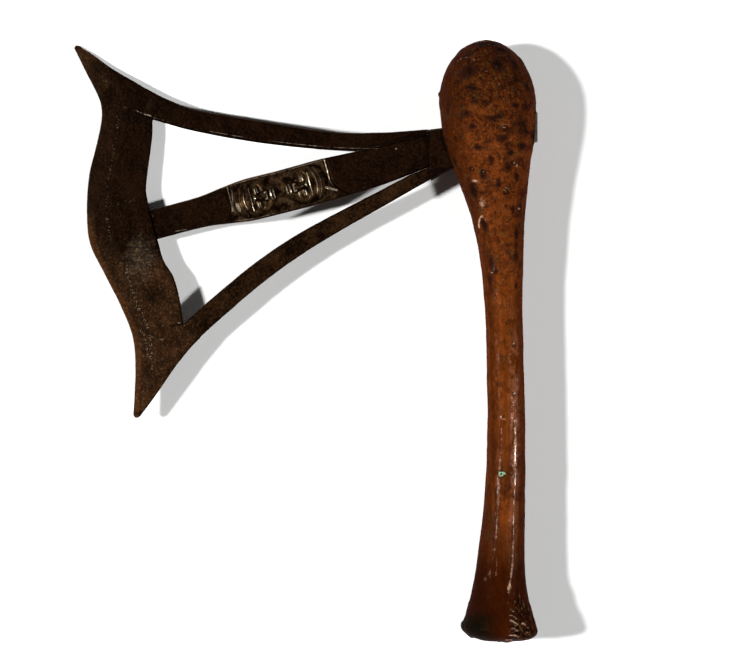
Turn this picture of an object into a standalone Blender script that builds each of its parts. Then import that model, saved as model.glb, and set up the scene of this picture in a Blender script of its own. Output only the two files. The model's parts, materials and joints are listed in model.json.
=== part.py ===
"""Prestige axe lying on a floor: forged iron openwork blade, copper-sheathed club-shaped haft.

The axe is drawn in plan, in millimetres: the haft runs along +Y from its butt at Y = 0, and the
blade stands off towards -X. The blade is a flat work that droops from the haft down to its upper
horn, so its pieces are drawn flat and then lifted on to the blade's sloping middle plane. The
three resting places are a small flat under the head, one under the butt, and the upper horn.
"""

import math

import bmesh
import bpy
from mathutils import Vector

MM = 0.001
GAP = 0.3            # clearance between pieces that touch
STEP_RUN = 0.1       # length over which a shoulder rises in a lofted piece

# Haft: plan outline and depth, from the rim of the butt to the widest part of the head.
HAFT_LENGTH = 399.5
# Columns: Y, left X, right X, half depth
HAFT_PROFILE = (
    (8.5, -29.0, 22.3, 25.4),
    (14.0, -26.8, 20.6, 24.3),
    (24.0, -23.6, 17.1, 20.2),
    (40.0, -20.3, 14.4, 16.6),
    (61.0, -17.0, 13.5, 14.6),
    (93.0, -13.5, 13.9, 13.4),
    (136.0, -11.3, 14.0, 12.6),
    (178.0, -11.6, 13.2, 12.4),
    (221.0, -13.1, 12.1, 12.6),
    (253.0, -16.2, 12.8, 14.3),
    (285.0, -23.2, 13.9, 18.0),
    (317.0, -34.7, 17.5, 23.6),
    (338.0, -40.9, 20.7, 26.4),
    (356.0, -43.3, 21.0, 27.3),
)
BUTT_FLAT = 0.46          # share of the butt's radius that is flat
BUTT_DOME_POWER = 2.4
BUTT_TILT = 2.2           # how much higher the butt's rim is on its left than at its middle
BUTT_TILT_FADE = 26.0     # Y at which the tilt has died away
REST_SINK = 1.0           # how far the round of the head and butt is cut flat below
REST_SNAP = 0.45          # what is left this close to the floor joins the flat
HAFT_SIDES = 36
HAFT_RINGS = 30
RING_SPREAD = 1.3         # above 1 the rings lie closer together at the butt
CROWN_RINGS = 9
BUTT_RINGS = 5
CROWN_LEAN = -0.8         # how far the crown's pole lies left of the head's middle

# Blade: the middle plane's height at the haft and its slopes.
BLADE_ROOT = Vector((-11.0, 335.0, 27.0))
LEAN = -0.05              # rise of the plane along +Y: the lower horn sits higher
HORN_TIP = Vector((-287.4, 397.0))
HORN_TIP_HALF = 0.9       # half thickness at the horn's tip

# Cutting edge, from the upper horn to the lower one. Columns: Y, X
CUTTING_EDGE = (
    (395.7, -287.8),
    (378.0, -279.0),
    (361.0, -270.6),
    (350.0, -269.1),
    (333.0, -272.0),
    (309.0, -277.6),
    (283.0, -278.9),
    (263.0, -276.2),
    (243.0, -266.2),
    (221.0, -255.1),
    (201.0, -247.6),
    (178.0, -246.0),
    (149.8, -247.4),
)
HORN_TIP_ENDS = ((-287.5, 396.5), (-286.5, 397.6))     # the blunt ends of the two horns
LOWER_TIP_ENDS = ((-246.1, 148.2), (-244.3, 148.0))

# The plate's other side, span by span: how low the cutting edge has come at the span's end, the
# number of stations, and the points of the inner outline.
PLATE_SPANS = (
    (352.0, 13, ((-284.8, 397.5), (-273.3, 390.0), (-261.3, 381.3), (-243.3, 370.7), (-228.0, 362.2))),
    (345.0, 3, ((-228.0, 362.2), (-234.7, 347.0))),
    (290.0, 8, ((-234.7, 347.0), (-235.2, 335.0), (-238.3, 311.0), (-239.2, 300.0), (-238.1, 293.3))),
    (264.0, 4, ((-238.1, 293.3), (-231.3, 266.7))),
    (208.0, 9, ((-231.3, 266.7), (-227.3, 253.3), (-220.6, 242.0), (-216.4, 227.0), (-214.0, 211.0))),
    (202.0, 3, ((-214.0, 211.0), (-202.6, 201.6))),
    (149.8, 11, ((-202.6, 201.6), (-209.6, 194.2), (-218.3, 183.4), (-232.9, 162.1), (-242.5, 149.2))),
)
PLATE_HALF = 1.75         # half thickness of the plate
EDGE_HALF = 0.3           # half thickness of the blunt cutting edge
EDGE_BEVEL = 17.0         # width over which the plate thins to its edge
BEVEL_POWER = 0.75        # below 1 the bevel is a little hollow
FULL_WIDTH = 27.0         # the plate keeps its full thickness from this width up
INNER_SHARE = 0.6         # share of the thickness left on its inner side
PLATE_ROUND = 1.0         # rounding of the plate's inner side

# Struts: edge curves from the plate to the block at the haft, and tongues that lap the plate.
UPPER_TOP = ((-230.2, 363.2), (-208.0, 354.6), (-180.7, 349.3), (-149.3, 344.0), (-117.3, 339.0),
             (-84.0, 338.2), (-51.6, 340.2))
UPPER_LOW = ((-234.7, 347.3), (-205.3, 339.3), (-165.3, 332.0), (-117.3, 326.7), (-84.0, 325.6),
             (-51.6, 326.6))
UPPER_TONGUE_TOP = ((-269.5, 387.2), (-261.3, 381.3), (-243.3, 370.7), (-230.2, 363.2))
UPPER_TONGUE_LOW = ((-271.5, 383.6), (-259.0, 362.5), (-247.0, 354.0), (-234.7, 347.3))
LOWER_TOP = ((-214.0, 210.6), (-197.3, 225.6), (-165.3, 252.0), (-133.3, 273.0), (-85.3, 298.2),
             (-49.3, 317.0))
LOWER_LOW = ((-204.9, 199.8), (-187.6, 215.4), (-156.9, 241.2), (-125.0, 263.2), (-77.3, 290.8),
             (-48.9, 306.8))
LOWER_TONGUE_TOP = ((-236.0, 171.0), (-233.0, 189.0), (-225.0, 204.0), (-214.0, 210.6))
LOWER_TONGUE_LOW = ((-233.2, 162.6), (-225.6, 172.9), (-218.3, 183.4), (-204.9, 199.8))
STRUT_HALF = 2.4
STRUT_ROUND = 2.0
SIDE_SHARE = 0.45         # share of a bar's thickness that its flat sides keep
LAP_HALF = 0.15           # a tongue starts this far from the middle plane
TONGUE_LEAST = 0.8        # least thickness of a tongue
TONGUE_STATIONS = 9
STRUT_STATIONS = 26

# Central strut: distances along and across its own axis.
STRAP_START = Vector((-234.1, 276.5))
STRAP_ANGLE = math.radians(15.1)
# Columns: distance along, upper edge, lower edge
STRAP_PROFILE = (
    (0.7, 10.5, -9.5),
    (34.0, 10.6, -10.0),
    (50.0, 12.4, -12.2),
    (66.0, 13.9, -14.4),
    (90.0, 13.5, -15.0),
    (118.0, 13.6, -15.4),
    (142.0, 12.3, -14.7),
    (160.0, 11.4, -13.6),
    (190.0, 10.5, -10.4),
)
STRAP_HALF = 2.6
STRAP_ROUND = 1.2
STRAP_TONGUE = 12.0       # length behind the plate
TONGUE_NARROW = 0.82      # share of its width that the tongue's end keeps
STRAP_ROWS = 21           # rows across the upper side, which carries the relief
BLOCK_UPPER = ((192.8, 13.6), (206.0, 11.8))
BLOCK_LOWER = ((186.6, -20.0), (206.0, -15.2))
BLOCK_HALF = 4.2
BLOCK_ROUND = 2.2
TANG_UPPER = ((206.2, 5.6), (266.7, 5.6))
TANG_LOWER = ((206.2, -13.6), (261.5, -13.6))
TANG_HALF = 2.6
BLOCK_STATIONS = 6
TANG_STATIONS = 4
BLOCK_OUTSIDE = 2         # stations of the block that stay well clear of the haft
SLOT_OVERRUN = 4.0        # how far the slot's cutter runs past the tang's end

# Relief: two heads, chin to chin, each measured from the groove between their chins.
RELIEF_MIDDLE = 88.0
RELIEF_AXIS = -0.6        # distance of the relief's middle line from the strap's axis
HEAD_LENGTH = 33.5
HEAD_HALF = 12.2
HEAD_RISE = 3.5
HEAD_MIDDLE = 0.52        # shares of the head's length, from chin to crown
BROW_LINE = 0.58
EYE_LINE = 0.50
NOSE_BASE = 0.29
MOUTH_LINE = 0.17
CHIN_WIDTH = 0.60         # share of the head's width at its chin
EYE_SPACING = 5.2         # from the nose to the middle of an eye
# Carved features: half length along the head, half width across it, height
SOCKET = (4.4, 4.6, -1.5)
EYE = (2.0, 3.2, 1.9)
LIPS = (2.5, 4.8, 1.5)
PARTING = (0.8, 4.4, -1.1)
FOREHEAD = (2.0, 1.3)     # length over which the brow rises, height
NOSE_HALF = (1.7, 3.3)    # half width at the brow and at the base
NOSE_RISE = (1.5, 3.1)
NOSE_END = 1.12           # where the nose ends, as a share of brow to base
# Borders: distance past the crown, half width
BORDERS = ((1.2, 1.3), (4.0, 1.2))
BORDER_RISE = 0.9
BORDER_ROOM = 6.0         # length that the borders take past each head
RELIEF_STATIONS = 58
PLAIN_STATIONS = 5        # before and after the relief


# ---------------------------------------------------------------- curves


def read_rows(rows, at):
    """Reads a table's columns at a value of its first one, on a smooth curve through its rows."""
    direction = 1.0 if rows[-1][0] > rows[0][0] else -1.0
    last = len(rows) - 2
    k = 0
    while k < last and (at - rows[k + 1][0]) * direction > 0.0:
        k += 1
    before, start, end, after = (rows[max(0, min(len(rows) - 1, k + j))] for j in (-1, 0, 1, 2))
    span = end[0] - start[0]
    t = (at - start[0]) / span
    values = []
    for column in range(1, len(rows[0])):
        leaving = slope(before, end, column) * span
        arriving = slope(start, after, column) * span
        values.append((2 * t**3 - 3 * t**2 + 1) * start[column] + (t**3 - 2 * t**2 + t) * leaving
                      + (3 * t**2 - 2 * t**3) * end[column] + (t**3 - t**2) * arriving)
    return values


def slope(before, after, column):
    """Slope of a column at a row, from the rows on both sides of it."""
    return (after[column] - before[column]) / (after[0] - before[0])


def sample(points, count):
    """Evenly spaced points on a smooth curve through the given ones."""
    run = 0.0
    rows = [(run, *points[0])]
    for start, end in zip(points, points[1:]):
        run += math.dist(start, end)
        rows.append((run, *end))
    return [Vector(read_rows(rows, run * k / (count - 1))) for k in range(count)]


def grow(left, right, amount):
    """Moves two edge curves apart, and their ends outwards, by an amount."""
    wide_left, wide_right = [], []
    for start, end in zip(left, right):
        across = (start - end).normalized() * amount
        wide_left.append(start + across)
        wide_right.append(end - across)
    for curve in (wide_left, wide_right):
        curve[0] = curve[0] + (curve[0] - curve[1]).normalized() * amount
        curve[-1] = curve[-1] + (curve[-1] - curve[-2]).normalized() * amount
    return wide_left, wide_right


# ---------------------------------------------------------------- solids


def new_object(name, mesh, material):
    """Makes an object of a bmesh, in metres, with its faces pointing out."""
    bmesh.ops.recalc_face_normals(mesh, faces=mesh.faces)
    bmesh.ops.scale(mesh, vec=(MM, MM, MM), verts=mesh.verts)
    data = bpy.data.meshes.new(name)
    mesh.to_mesh(data)
    mesh.free()
    if material:
        data.materials.append(material)
    data.shade_smooth()
    data.set_sharp_from_angle(angle=math.radians(35))
    item = bpy.data.objects.new(name, data)
    bpy.context.collection.objects.link(item)
    return item


def bridge(mesh, rings):
    """Faces between closed rings of vertices; the first and last ring are capped, the last returned."""
    for near, far in zip(rings, rings[1:]):
        for k in range(len(near)):
            after = (k + 1) % len(near)
            mesh.faces.new((near[k], near[after], far[after], far[k]))
    mesh.faces.new(rings[0])
    return mesh.faces.new(rings[-1])


def lift(point, height):
    """Puts a point of the flat drawing on the blade's sloping middle plane."""
    away = HORN_TIP - BLADE_ROOT.xy
    droop = (HORN_TIP_HALF - BLADE_ROOT.z - LEAN * away.y) / away.x
    offset = point - BLADE_ROOT.xy
    z = BLADE_ROOT.z + droop * offset.x + LEAN * offset.y + height
    return Vector((point.x, point.y, max(z, 0.0)))


def ribbon(left, right, rows, shape, low_rows=None):
    """Closed solid between two edge curves of the blade, given station by station.

    rows(width) lists distances from the left edge, and shape(station, distance, width) gives the
    lower and the upper height there. low_rows does for the underside what rows does above.
    """
    mesh = bmesh.new()
    rings = []
    for station, (start, end) in enumerate(zip(left, right)):
        width = (end - start).length
        above = [(d, shape(station, d, width)[1]) for d in rows(width)]
        below = [(d, shape(station, d, width)[0]) for d in (low_rows or rows)(width)]
        ring = [mesh.verts.new(lift(start.lerp(end, d / width), height))
                for d, height in above + below[::-1]]
        rings.append(ring)
    bridge(mesh, rings)
    return mesh


def rounded(distance, width, half, round_width):
    """Half thickness of a bar with rounded long edges."""
    inset = min(distance, width - distance)
    if inset >= round_width:
        return half
    share = 1.0 - inset / round_width
    return half * (SIDE_SHARE + (1.0 - SIDE_SHARE) * math.sqrt(1.0 - share * share))


def bar_rows(width):
    """Distances across a bar, close together where its edges are rounded."""
    inset = min(STRUT_ROUND, width * 0.3)
    return 0.0, inset * 0.35, inset, width - inset, width - inset * 0.35, width


def cut(target, cutter):
    """Takes a cutter out of an object and hides the cutter."""
    modifier = target.modifiers.new(cutter.name, "BOOLEAN")
    modifier.operation = "DIFFERENCE"
    modifier.solver = "EXACT"
    modifier.object = cutter
    cutter.hide_render = True
    cutter.display_type = "WIRE"


# ---------------------------------------------------------------- haft


def haft_ring(mesh, y, scale, lean=0.0):
    """One ring of the haft, cut flat where it would reach below the floor."""
    left, right, depth = read_rows(HAFT_PROFILE, min(max(y, HAFT_PROFILE[0][0]), HAFT_PROFILE[-1][0]))
    middle = (left + right) / 2 + lean
    low, high = HAFT_PROFILE[0][3], HAFT_PROFILE[-1][3]
    axis = low + (high - low) * min(max(y / HAFT_PROFILE[-1][0], 0.0), 1.0) - REST_SINK
    tilt = BUTT_TILT * max(0.0, 1.0 - y / BUTT_TILT_FADE) * max(0.0, scale - BUTT_FLAT) / (1.0 - BUTT_FLAT)
    ring = []
    for k in range(HAFT_SIDES):
        angle = math.tau * (k + 0.5) / HAFT_SIDES
        x = middle + (right - left) / 2 * scale * math.cos(angle)
        z = axis + depth * scale * math.sin(angle)
        ring.append(mesh.verts.new((x, y - tilt * math.cos(angle), 0.0 if z < REST_SNAP else z)))
    return ring


def butt_height(share):
    """Height of the domed butt at a share of its radius; its middle is flat."""
    dome = 1.0 - (1.0 - share**BUTT_DOME_POWER) ** (1.0 / BUTT_DOME_POWER)
    flat = 1.0 - (1.0 - BUTT_FLAT**BUTT_DOME_POWER) ** (1.0 / BUTT_DOME_POWER)
    return HAFT_PROFILE[0][0] * max(0.0, (dome - flat) / (1.0 - flat))


def make_haft(material):
    """The copper-sheathed club: domed butt, grip, head and crown, with no slot yet."""
    mesh = bmesh.new()
    rings = []
    for k in range(BUTT_RINGS):
        share = BUTT_FLAT + (1.0 - BUTT_FLAT) * math.sin(math.pi / 2 * k / BUTT_RINGS)
        rings.append(haft_ring(mesh, butt_height(share), share))
    start, end = HAFT_PROFILE[0][0], HAFT_PROFILE[-1][0]
    for k in range(HAFT_RINGS):
        share = (k / (HAFT_RINGS - 1)) ** RING_SPREAD
        rings.append(haft_ring(mesh, start + (end - start) * share, 1.0))
    for k in range(1, CROWN_RINGS):
        turn = math.pi / 2 * k / CROWN_RINGS
        rings.append(haft_ring(mesh, end + (HAFT_LENGTH - end) * math.sin(turn), math.cos(turn),
                               CROWN_LEAN * math.sin(turn)))
    pole = bmesh.ops.poke(mesh, faces=[bridge(mesh, rings)])["verts"][0]
    pole.co.y = HAFT_LENGTH
    return new_object("haft", mesh, material)


# ---------------------------------------------------------------- cutting blade


def plate_narrowing(width):
    """How much the bevel and the thickness shrink where the plate runs out into a horn."""
    return min(1.0, width / FULL_WIDTH)


def plate_rows(width):
    """Distances across the plate, from its cutting edge to its inner side."""
    narrow = plate_narrowing(width)
    bevel = [EDGE_BEVEL * narrow * share for share in (0.0, 0.3, 0.65, 1.0)]
    return *bevel, width - PLATE_ROUND * narrow, width


def plate_shape(station, distance, width):
    """The plate thins to a blunt edge on one side and is rounded on the other."""
    narrow = plate_narrowing(width)
    thick = HORN_TIP_HALF + (PLATE_HALF - HORN_TIP_HALF) * narrow
    bevel = min(1.0, distance / (EDGE_BEVEL * narrow)) ** BEVEL_POWER
    half = EDGE_HALF + (thick - EDGE_HALF) * bevel
    if width - distance < PLATE_ROUND * narrow / 2:
        half *= INNER_SHARE
    return -half, half


def make_plate(material):
    """Crescent plate with two horns, lofted from its cutting edge to its inner outline."""
    outer = [Vector(HORN_TIP_ENDS[0])]
    inner = [Vector(HORN_TIP_ENDS[1])]
    start = CUTTING_EDGE[0][0]
    for end, count, points in PLATE_SPANS:
        first = 1 if outer[1:] else 0
        for k, point in list(enumerate(sample(points, count)))[first:]:
            y = start + (end - start) * k / (count - 1)
            outer.append(Vector((read_rows(CUTTING_EDGE, y)[0], y)))
            inner.append(point)
        start = end
    outer.append(Vector(LOWER_TIP_ENDS[0]))
    inner.append(Vector(LOWER_TIP_ENDS[1]))
    return new_object("cutting_blade", ribbon(outer, inner, plate_rows, plate_shape), material)


# ---------------------------------------------------------------- upper and lower strut


def strut_edges(tongue_left, tongue_right, left, right):
    """Edge curves of a strut with its tongue, and the station where its full section starts."""
    edges = []
    for tongue, bar in ((tongue_left, left), (tongue_right, right)):
        thin = sample(tongue, TONGUE_STATIONS)
        full = sample(bar, STRUT_STATIONS)
        thin[-1] = full[0] + (full[0] - full[1]).normalized() * STEP_RUN
        edges.append(thin + full)
    return edges[0], edges[1]


def strut_shape(station, distance, width):
    """Rounded bar; its tongue keeps only the half in front of the plate's middle plane."""
    half = rounded(distance, width, STRUT_HALF, STRUT_ROUND)
    if station >= TONGUE_STATIONS:
        return -half, half
    share = station / (TONGUE_STATIONS - 1)
    top = PLATE_HALF + (half - PLATE_HALF) * share
    return LAP_HALF, max(top, LAP_HALF + TONGUE_LEAST)


def pocket_shape(station, distance, width):
    """Room for a strut in the plate: open above, and through the plate past the tongue."""
    floor = LAP_HALF - GAP if station < TONGUE_STATIONS else -STRUT_HALF * 2
    return floor, STRUT_HALF * 2


def make_strut(name, edges, material):
    """A strut, and the cutter that makes room for it in the plate."""
    left, right = edges
    strut = new_object(name, ribbon(left, right, bar_rows, strut_shape), material)
    wide_left, wide_right = grow(left, right, GAP)
    for curve in (wide_left, wide_right):
        shift = (curve[TONGUE_STATIONS] - curve[TONGUE_STATIONS + 1]).normalized() * GAP
        curve[TONGUE_STATIONS - 1] += shift
        curve[TONGUE_STATIONS] += shift
    pocket = new_object(name + "_pocket", ribbon(wide_left, wide_right, plain_rows, pocket_shape), None)
    return strut, pocket


def plain_rows(width):
    """Only the two edges."""
    return 0.0, width


# ---------------------------------------------------------------- central strut


def on_strap(along, across):
    """A point of the drawing, from distances along and across the strap's axis."""
    axis = Vector((math.cos(STRAP_ANGLE), math.sin(STRAP_ANGLE)))
    return STRAP_START + axis * along + Vector((-axis.y, axis.x)) * across


def strap_stations():
    """Stations of the central strut: along upper, across upper, along lower, across lower, kind."""
    start, end = STRAP_PROFILE[0], STRAP_PROFILE[-1]
    stations = []
    for along in (-STRAP_TONGUE, -STRAP_TONGUE * 0.5, start[0] - STEP_RUN):
        narrow = TONGUE_NARROW if along == -STRAP_TONGUE else 1.0
        stations.append((along, start[1] * narrow, along, start[2] * narrow, "tongue"))
    first = RELIEF_MIDDLE - HEAD_LENGTH - BORDER_ROOM
    last = RELIEF_MIDDLE + HEAD_LENGTH + BORDER_ROOM
    before = [start[0] + (first - start[0]) * k / PLAIN_STATIONS for k in range(PLAIN_STATIONS)]
    carved = [first + (last - first) * k / RELIEF_STATIONS for k in range(RELIEF_STATIONS)]
    after = [last + (end[0] - last) * k / PLAIN_STATIONS for k in range(PLAIN_STATIONS)]
    for along in before + carved + after:
        upper, lower = read_rows(STRAP_PROFILE, along)
        stations.append((along, upper, along, lower, "strap"))
    slant = (BLOCK_UPPER[0][0] - BLOCK_LOWER[0][0]) / (BLOCK_UPPER[0][1] - BLOCK_LOWER[0][1])
    face = BLOCK_UPPER[0][0] - slant * BLOCK_UPPER[0][1]
    stations.append((face + slant * end[1] - STEP_RUN, end[1], face + slant * end[2] - STEP_RUN, end[2],
                     "strap"))
    for kind, count, upper_ends, lower_ends in (("block", BLOCK_STATIONS, BLOCK_UPPER, BLOCK_LOWER),
                                                ("tang", TANG_STATIONS, TANG_UPPER, TANG_LOWER)):
        for k in range(count):
            upper = Vector(upper_ends[0]).lerp(Vector(upper_ends[1]), k / (count - 1))
            lower = Vector(lower_ends[0]).lerp(Vector(lower_ends[1]), k / (count - 1))
            stations.append((*upper, *lower, kind))
    return stations


def boss(place, feature):
    """Height of a round boss or hollow at a place measured from its middle."""
    length, width, rise = feature
    return rise * max(0.0, 1.0 - (place.x / length) ** 2 - (place.y / width) ** 2)


def ridge(distance, half):
    """A rounded ridge: 1 on its line, 0 from half its width outwards."""
    return max(0.0, 1.0 - (distance / half) ** 2)


def step(value, start, end):
    """A smooth step from 0 at start to 1 at end."""
    share = max(0.0, min(1.0, (value - start) / (end - start)))
    return share * share * (3.0 - 2.0 * share)


def relief(along, across):
    """Height of the carving over the strap: two schematic heads between two borders."""
    up = abs(along - RELIEF_MIDDLE)          # distance from the groove between the chins
    side = abs(across - RELIEF_AXIS)
    border = BORDER_RISE * max(ridge(up - HEAD_LENGTH - past, half) for past, half in BORDERS)
    share = up / HEAD_LENGTH
    half = HEAD_HALF * (CHIN_WIDTH + (1.0 - CHIN_WIDTH) * step(share, 0.0, EYE_LINE))
    around = (side / half) ** 2.3 + (abs(share - HEAD_MIDDLE) / (1.0 - HEAD_MIDDLE)) ** 3
    if around >= 1.0:
        return border
    skull = HEAD_RISE * (1.0 - around) ** 0.6
    over_brow = (share - BROW_LINE) * HEAD_LENGTH
    forehead = FOREHEAD[1] * step(over_brow, 0.0, FOREHEAD[0])
    eye_at = Vector(((share - EYE_LINE) * HEAD_LENGTH, side - EYE_SPACING))
    mouth_at = Vector(((share - MOUTH_LINE) * HEAD_LENGTH, side))
    down = (BROW_LINE - share) / (BROW_LINE - NOSE_BASE)
    nose = 0.0
    if 0.0 < down < NOSE_END:
        nose_half = NOSE_HALF[0] + (NOSE_HALF[1] - NOSE_HALF[0]) * down
        nose_rise = NOSE_RISE[0] + (NOSE_RISE[1] - NOSE_RISE[0]) * down
        nose = nose_rise * ridge(side, nose_half) * step(down, NOSE_END, 1.0)
    parting = PARTING[2] * ridge(mouth_at.x, PARTING[0]) * ridge(side, PARTING[1])
    features = forehead + nose + parting + boss(eye_at, SOCKET) + boss(eye_at, EYE) + boss(mouth_at, LIPS)
    return max(skull + features * math.sqrt(1.0 - around), border)


def strap_rows(width):
    """Distances across the carved side of the strap."""
    inset = min(STRAP_ROUND, width * 0.2)
    count = STRAP_ROWS - 3
    middle = [inset + (width - 2 * inset) * k / count for k in range(count + 1)]
    return [0.0, *middle, width]


def strap_low_rows(width):
    """Distances across the plain underside of the strap."""
    inset = min(STRAP_ROUND, width * 0.2)
    return 0.0, inset, width - inset, width


def strap_shape_of(stations):
    """Shape function of the central strut for a list of stations."""
    def shape(station, distance, width):
        along, upper, _, _, kind = stations[station]
        if kind == "tongue":
            return -rounded(distance, width, PLATE_HALF, STRAP_ROUND), -LAP_HALF
        if kind == "block":
            half = rounded(distance, width, BLOCK_HALF, BLOCK_ROUND)
            return -half, half
        if kind == "tang":
            return -TANG_HALF, TANG_HALF
        half = rounded(distance, width, STRAP_HALF, STRAP_ROUND)
        return -half, half + relief(along, upper - distance)
    return shape


def make_central_strut(material):
    """The strap with its relief, block and tang, and the cutters that make room for it."""
    stations = strap_stations()
    left = [on_strap(upper_along, upper) for upper_along, upper, _, _, _ in stations]
    right = [on_strap(lower_along, lower) for _, _, lower_along, lower, _ in stations]
    body = ribbon(left, right, strap_rows, strap_shape_of(stations), strap_low_rows)
    strut = new_object("central_strut", body, material)
    kinds = [station[4] for station in stations]
    return strut, room_behind(), room_beside(left, right, kinds), room_in_haft(left, right, kinds)


def room_behind():
    """Cutter for the tongue's pocket in the plate's back."""
    _, upper, lower = STRAP_PROFILE[0]
    left = [on_strap(along, upper + GAP) for along in (-STRAP_TONGUE - GAP, STRAP_TONGUE)]
    right = [on_strap(along, lower - GAP) for along in (-STRAP_TONGUE - GAP, STRAP_TONGUE)]
    solid = ribbon(left, right, plain_rows, lambda station, d, width: (-STRAP_HALF * 2, -LAP_HALF + GAP))
    return new_object("central_strut_pocket", solid, None)


def room_beside(left, right, kinds):
    """Cutter that trims the other two struts along the strap and the block."""
    first, last = kinds.index("strap"), kinds.index("tang")
    wide = grow(left[first:last], right[first:last], GAP)
    solid = ribbon(*wide, plain_rows, lambda station, d, width: (-BLOCK_HALF * 2, BLOCK_HALF * 2))
    return new_object("central_strut_sides", solid, None)


def room_in_haft(left, right, kinds):
    """Cutter for the slot through the haft: the block's end, the tang and its clearance."""
    first = kinds.index("block") + BLOCK_OUTSIDE
    wide_left, wide_right = grow(left[first:], right[first:], GAP)
    block_count = BLOCK_STATIONS - BLOCK_OUTSIDE
    for curve in (wide_left, wide_right):
        along = (curve[-1] - curve[-2]).normalized()
        curve[-1] += along * SLOT_OVERRUN
        curve[block_count - 1] += along * GAP
        curve[block_count] += along * GAP

    def shape(station, distance, width):
        half = BLOCK_HALF if station < block_count else TANG_HALF
        return -half - GAP, half + GAP

    return new_object("haft_slot", ribbon(wide_left, wide_right, plain_rows, shape), None)


# ---------------------------------------------------------------- materials and assembly


def metal(name, colour, roughness, metallic):
    """A plain Principled metal."""
    material = bpy.data.materials.new(name)
    material.use_nodes = True
    shader = material.node_tree.nodes["Principled BSDF"]
    shader.inputs["Base Color"].default_value = (*colour, 1.0)
    shader.inputs["Roughness"].default_value = roughness
    shader.inputs["Metallic"].default_value = metallic
    return material


def stand_on_origin(pieces):
    """Parents the pieces to an empty that puts the middle of their box's underside at the origin."""
    bpy.context.view_layer.update()
    graph = bpy.context.evaluated_depsgraph_get()
    corners = [Vector(corner) for piece in pieces for corner in piece.evaluated_get(graph).bound_box]
    low = [min(corner[axis] for corner in corners) for axis in range(3)]
    high = [max(corner[axis] for corner in corners) for axis in range(3)]
    root = bpy.data.objects.new("axe", None)
    bpy.context.collection.objects.link(root)
    root.location = (-(low[0] + high[0]) / 2, -(low[1] + high[1]) / 2, -low[2])
    for item in bpy.data.objects:
        if item is not root:
            item.parent = root


def main():
    for item in list(bpy.data.objects):
        bpy.data.objects.remove(item)
    copper = metal("hammered_copper", (0.36, 0.14, 0.06), 0.4, 0.8)
    haft = make_haft(copper)
    plate = make_plate(metal("plate_iron", (0.060, 0.042, 0.030), 0.6, 0.7))
    upper, upper_pocket = make_strut(
        "upper_strut", strut_edges(UPPER_TONGUE_TOP, UPPER_TONGUE_LOW, UPPER_TOP, UPPER_LOW),
        metal("upper_strut_iron", (0.050, 0.036, 0.028), 0.55, 0.7))
    lower, lower_pocket = make_strut(
        "lower_strut", strut_edges(LOWER_TONGUE_TOP, LOWER_TONGUE_LOW, LOWER_TOP, LOWER_LOW),
        metal("lower_strut_iron", (0.058, 0.040, 0.028), 0.58, 0.7))
    central, behind, beside, slot = make_central_strut(
        metal("central_strut_iron", (0.055, 0.040, 0.030), 0.45, 0.75))
    for cutter in (upper_pocket, lower_pocket, behind):
        cut(plate, cutter)
    cut(upper, beside)
    cut(lower, beside)
    cut(haft, slot)
    stand_on_origin((haft, plate, upper, lower, central))


main()
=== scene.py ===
"""Prestige axe: a forged iron openwork blade and a club-shaped haft in beaten copper sheet.

The file is laid out as an add-on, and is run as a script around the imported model. One operator makes
each piece or group of like pieces and one makes the stage; a panel in the 3D view's sidebar lists them.
Everything is drawn in plan, in millimetres, with the haft along +Y from its butt at Y = 0 and the blade
towards -X, and is then put in its place in the frame, in metres.
"""

import json
import math
from functools import partial

import bmesh
import bpy
import numpy as np
from bpy.props import FloatProperty, FloatVectorProperty, PointerProperty
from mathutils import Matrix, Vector

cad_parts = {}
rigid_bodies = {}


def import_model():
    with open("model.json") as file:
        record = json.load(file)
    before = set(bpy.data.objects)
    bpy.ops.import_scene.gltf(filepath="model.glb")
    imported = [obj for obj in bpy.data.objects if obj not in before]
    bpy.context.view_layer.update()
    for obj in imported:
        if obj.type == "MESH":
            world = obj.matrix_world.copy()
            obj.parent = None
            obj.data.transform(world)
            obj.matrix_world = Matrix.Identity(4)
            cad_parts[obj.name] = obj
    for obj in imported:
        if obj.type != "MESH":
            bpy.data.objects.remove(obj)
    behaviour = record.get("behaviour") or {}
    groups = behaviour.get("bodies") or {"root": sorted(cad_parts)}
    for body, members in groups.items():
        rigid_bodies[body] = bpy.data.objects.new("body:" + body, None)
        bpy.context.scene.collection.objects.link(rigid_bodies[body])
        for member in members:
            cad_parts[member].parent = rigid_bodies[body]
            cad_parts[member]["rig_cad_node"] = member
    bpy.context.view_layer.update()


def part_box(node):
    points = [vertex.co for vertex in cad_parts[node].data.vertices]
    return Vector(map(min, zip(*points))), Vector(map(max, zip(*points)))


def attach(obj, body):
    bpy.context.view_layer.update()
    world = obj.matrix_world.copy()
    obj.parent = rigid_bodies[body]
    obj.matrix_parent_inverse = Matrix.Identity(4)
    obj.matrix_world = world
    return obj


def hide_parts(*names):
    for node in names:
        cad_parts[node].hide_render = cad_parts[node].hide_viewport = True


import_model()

bl_info = {
    "name": "Copper-sheathed prestige axe",
    "version": (1, 0, 0),
    "blender": (4, 5, 0),
    "location": "3D View > Sidebar > Axe",
    "description": "Makes the pieces of an openwork prestige axe and a plain stage for it",
    "category": "Add Mesh",
}

MM = 0.001
BODY = "root"

# ---- named sizes, in millimetres

GAP = 0.12  # clearance between iron pieces that touch
BLOCK_GAP = 0.06  # the same between the side struts' ends and the block
SLOT_GAP = 0.25  # clearance between the copper and the iron that goes through it
STEP_RUN = 0.1  # length over which a shoulder rises in a lofted piece

# Haft: plan outline and depth, from the rim of the butt to the widest part of the head.
HAFT_LENGTH = 399.5
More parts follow.
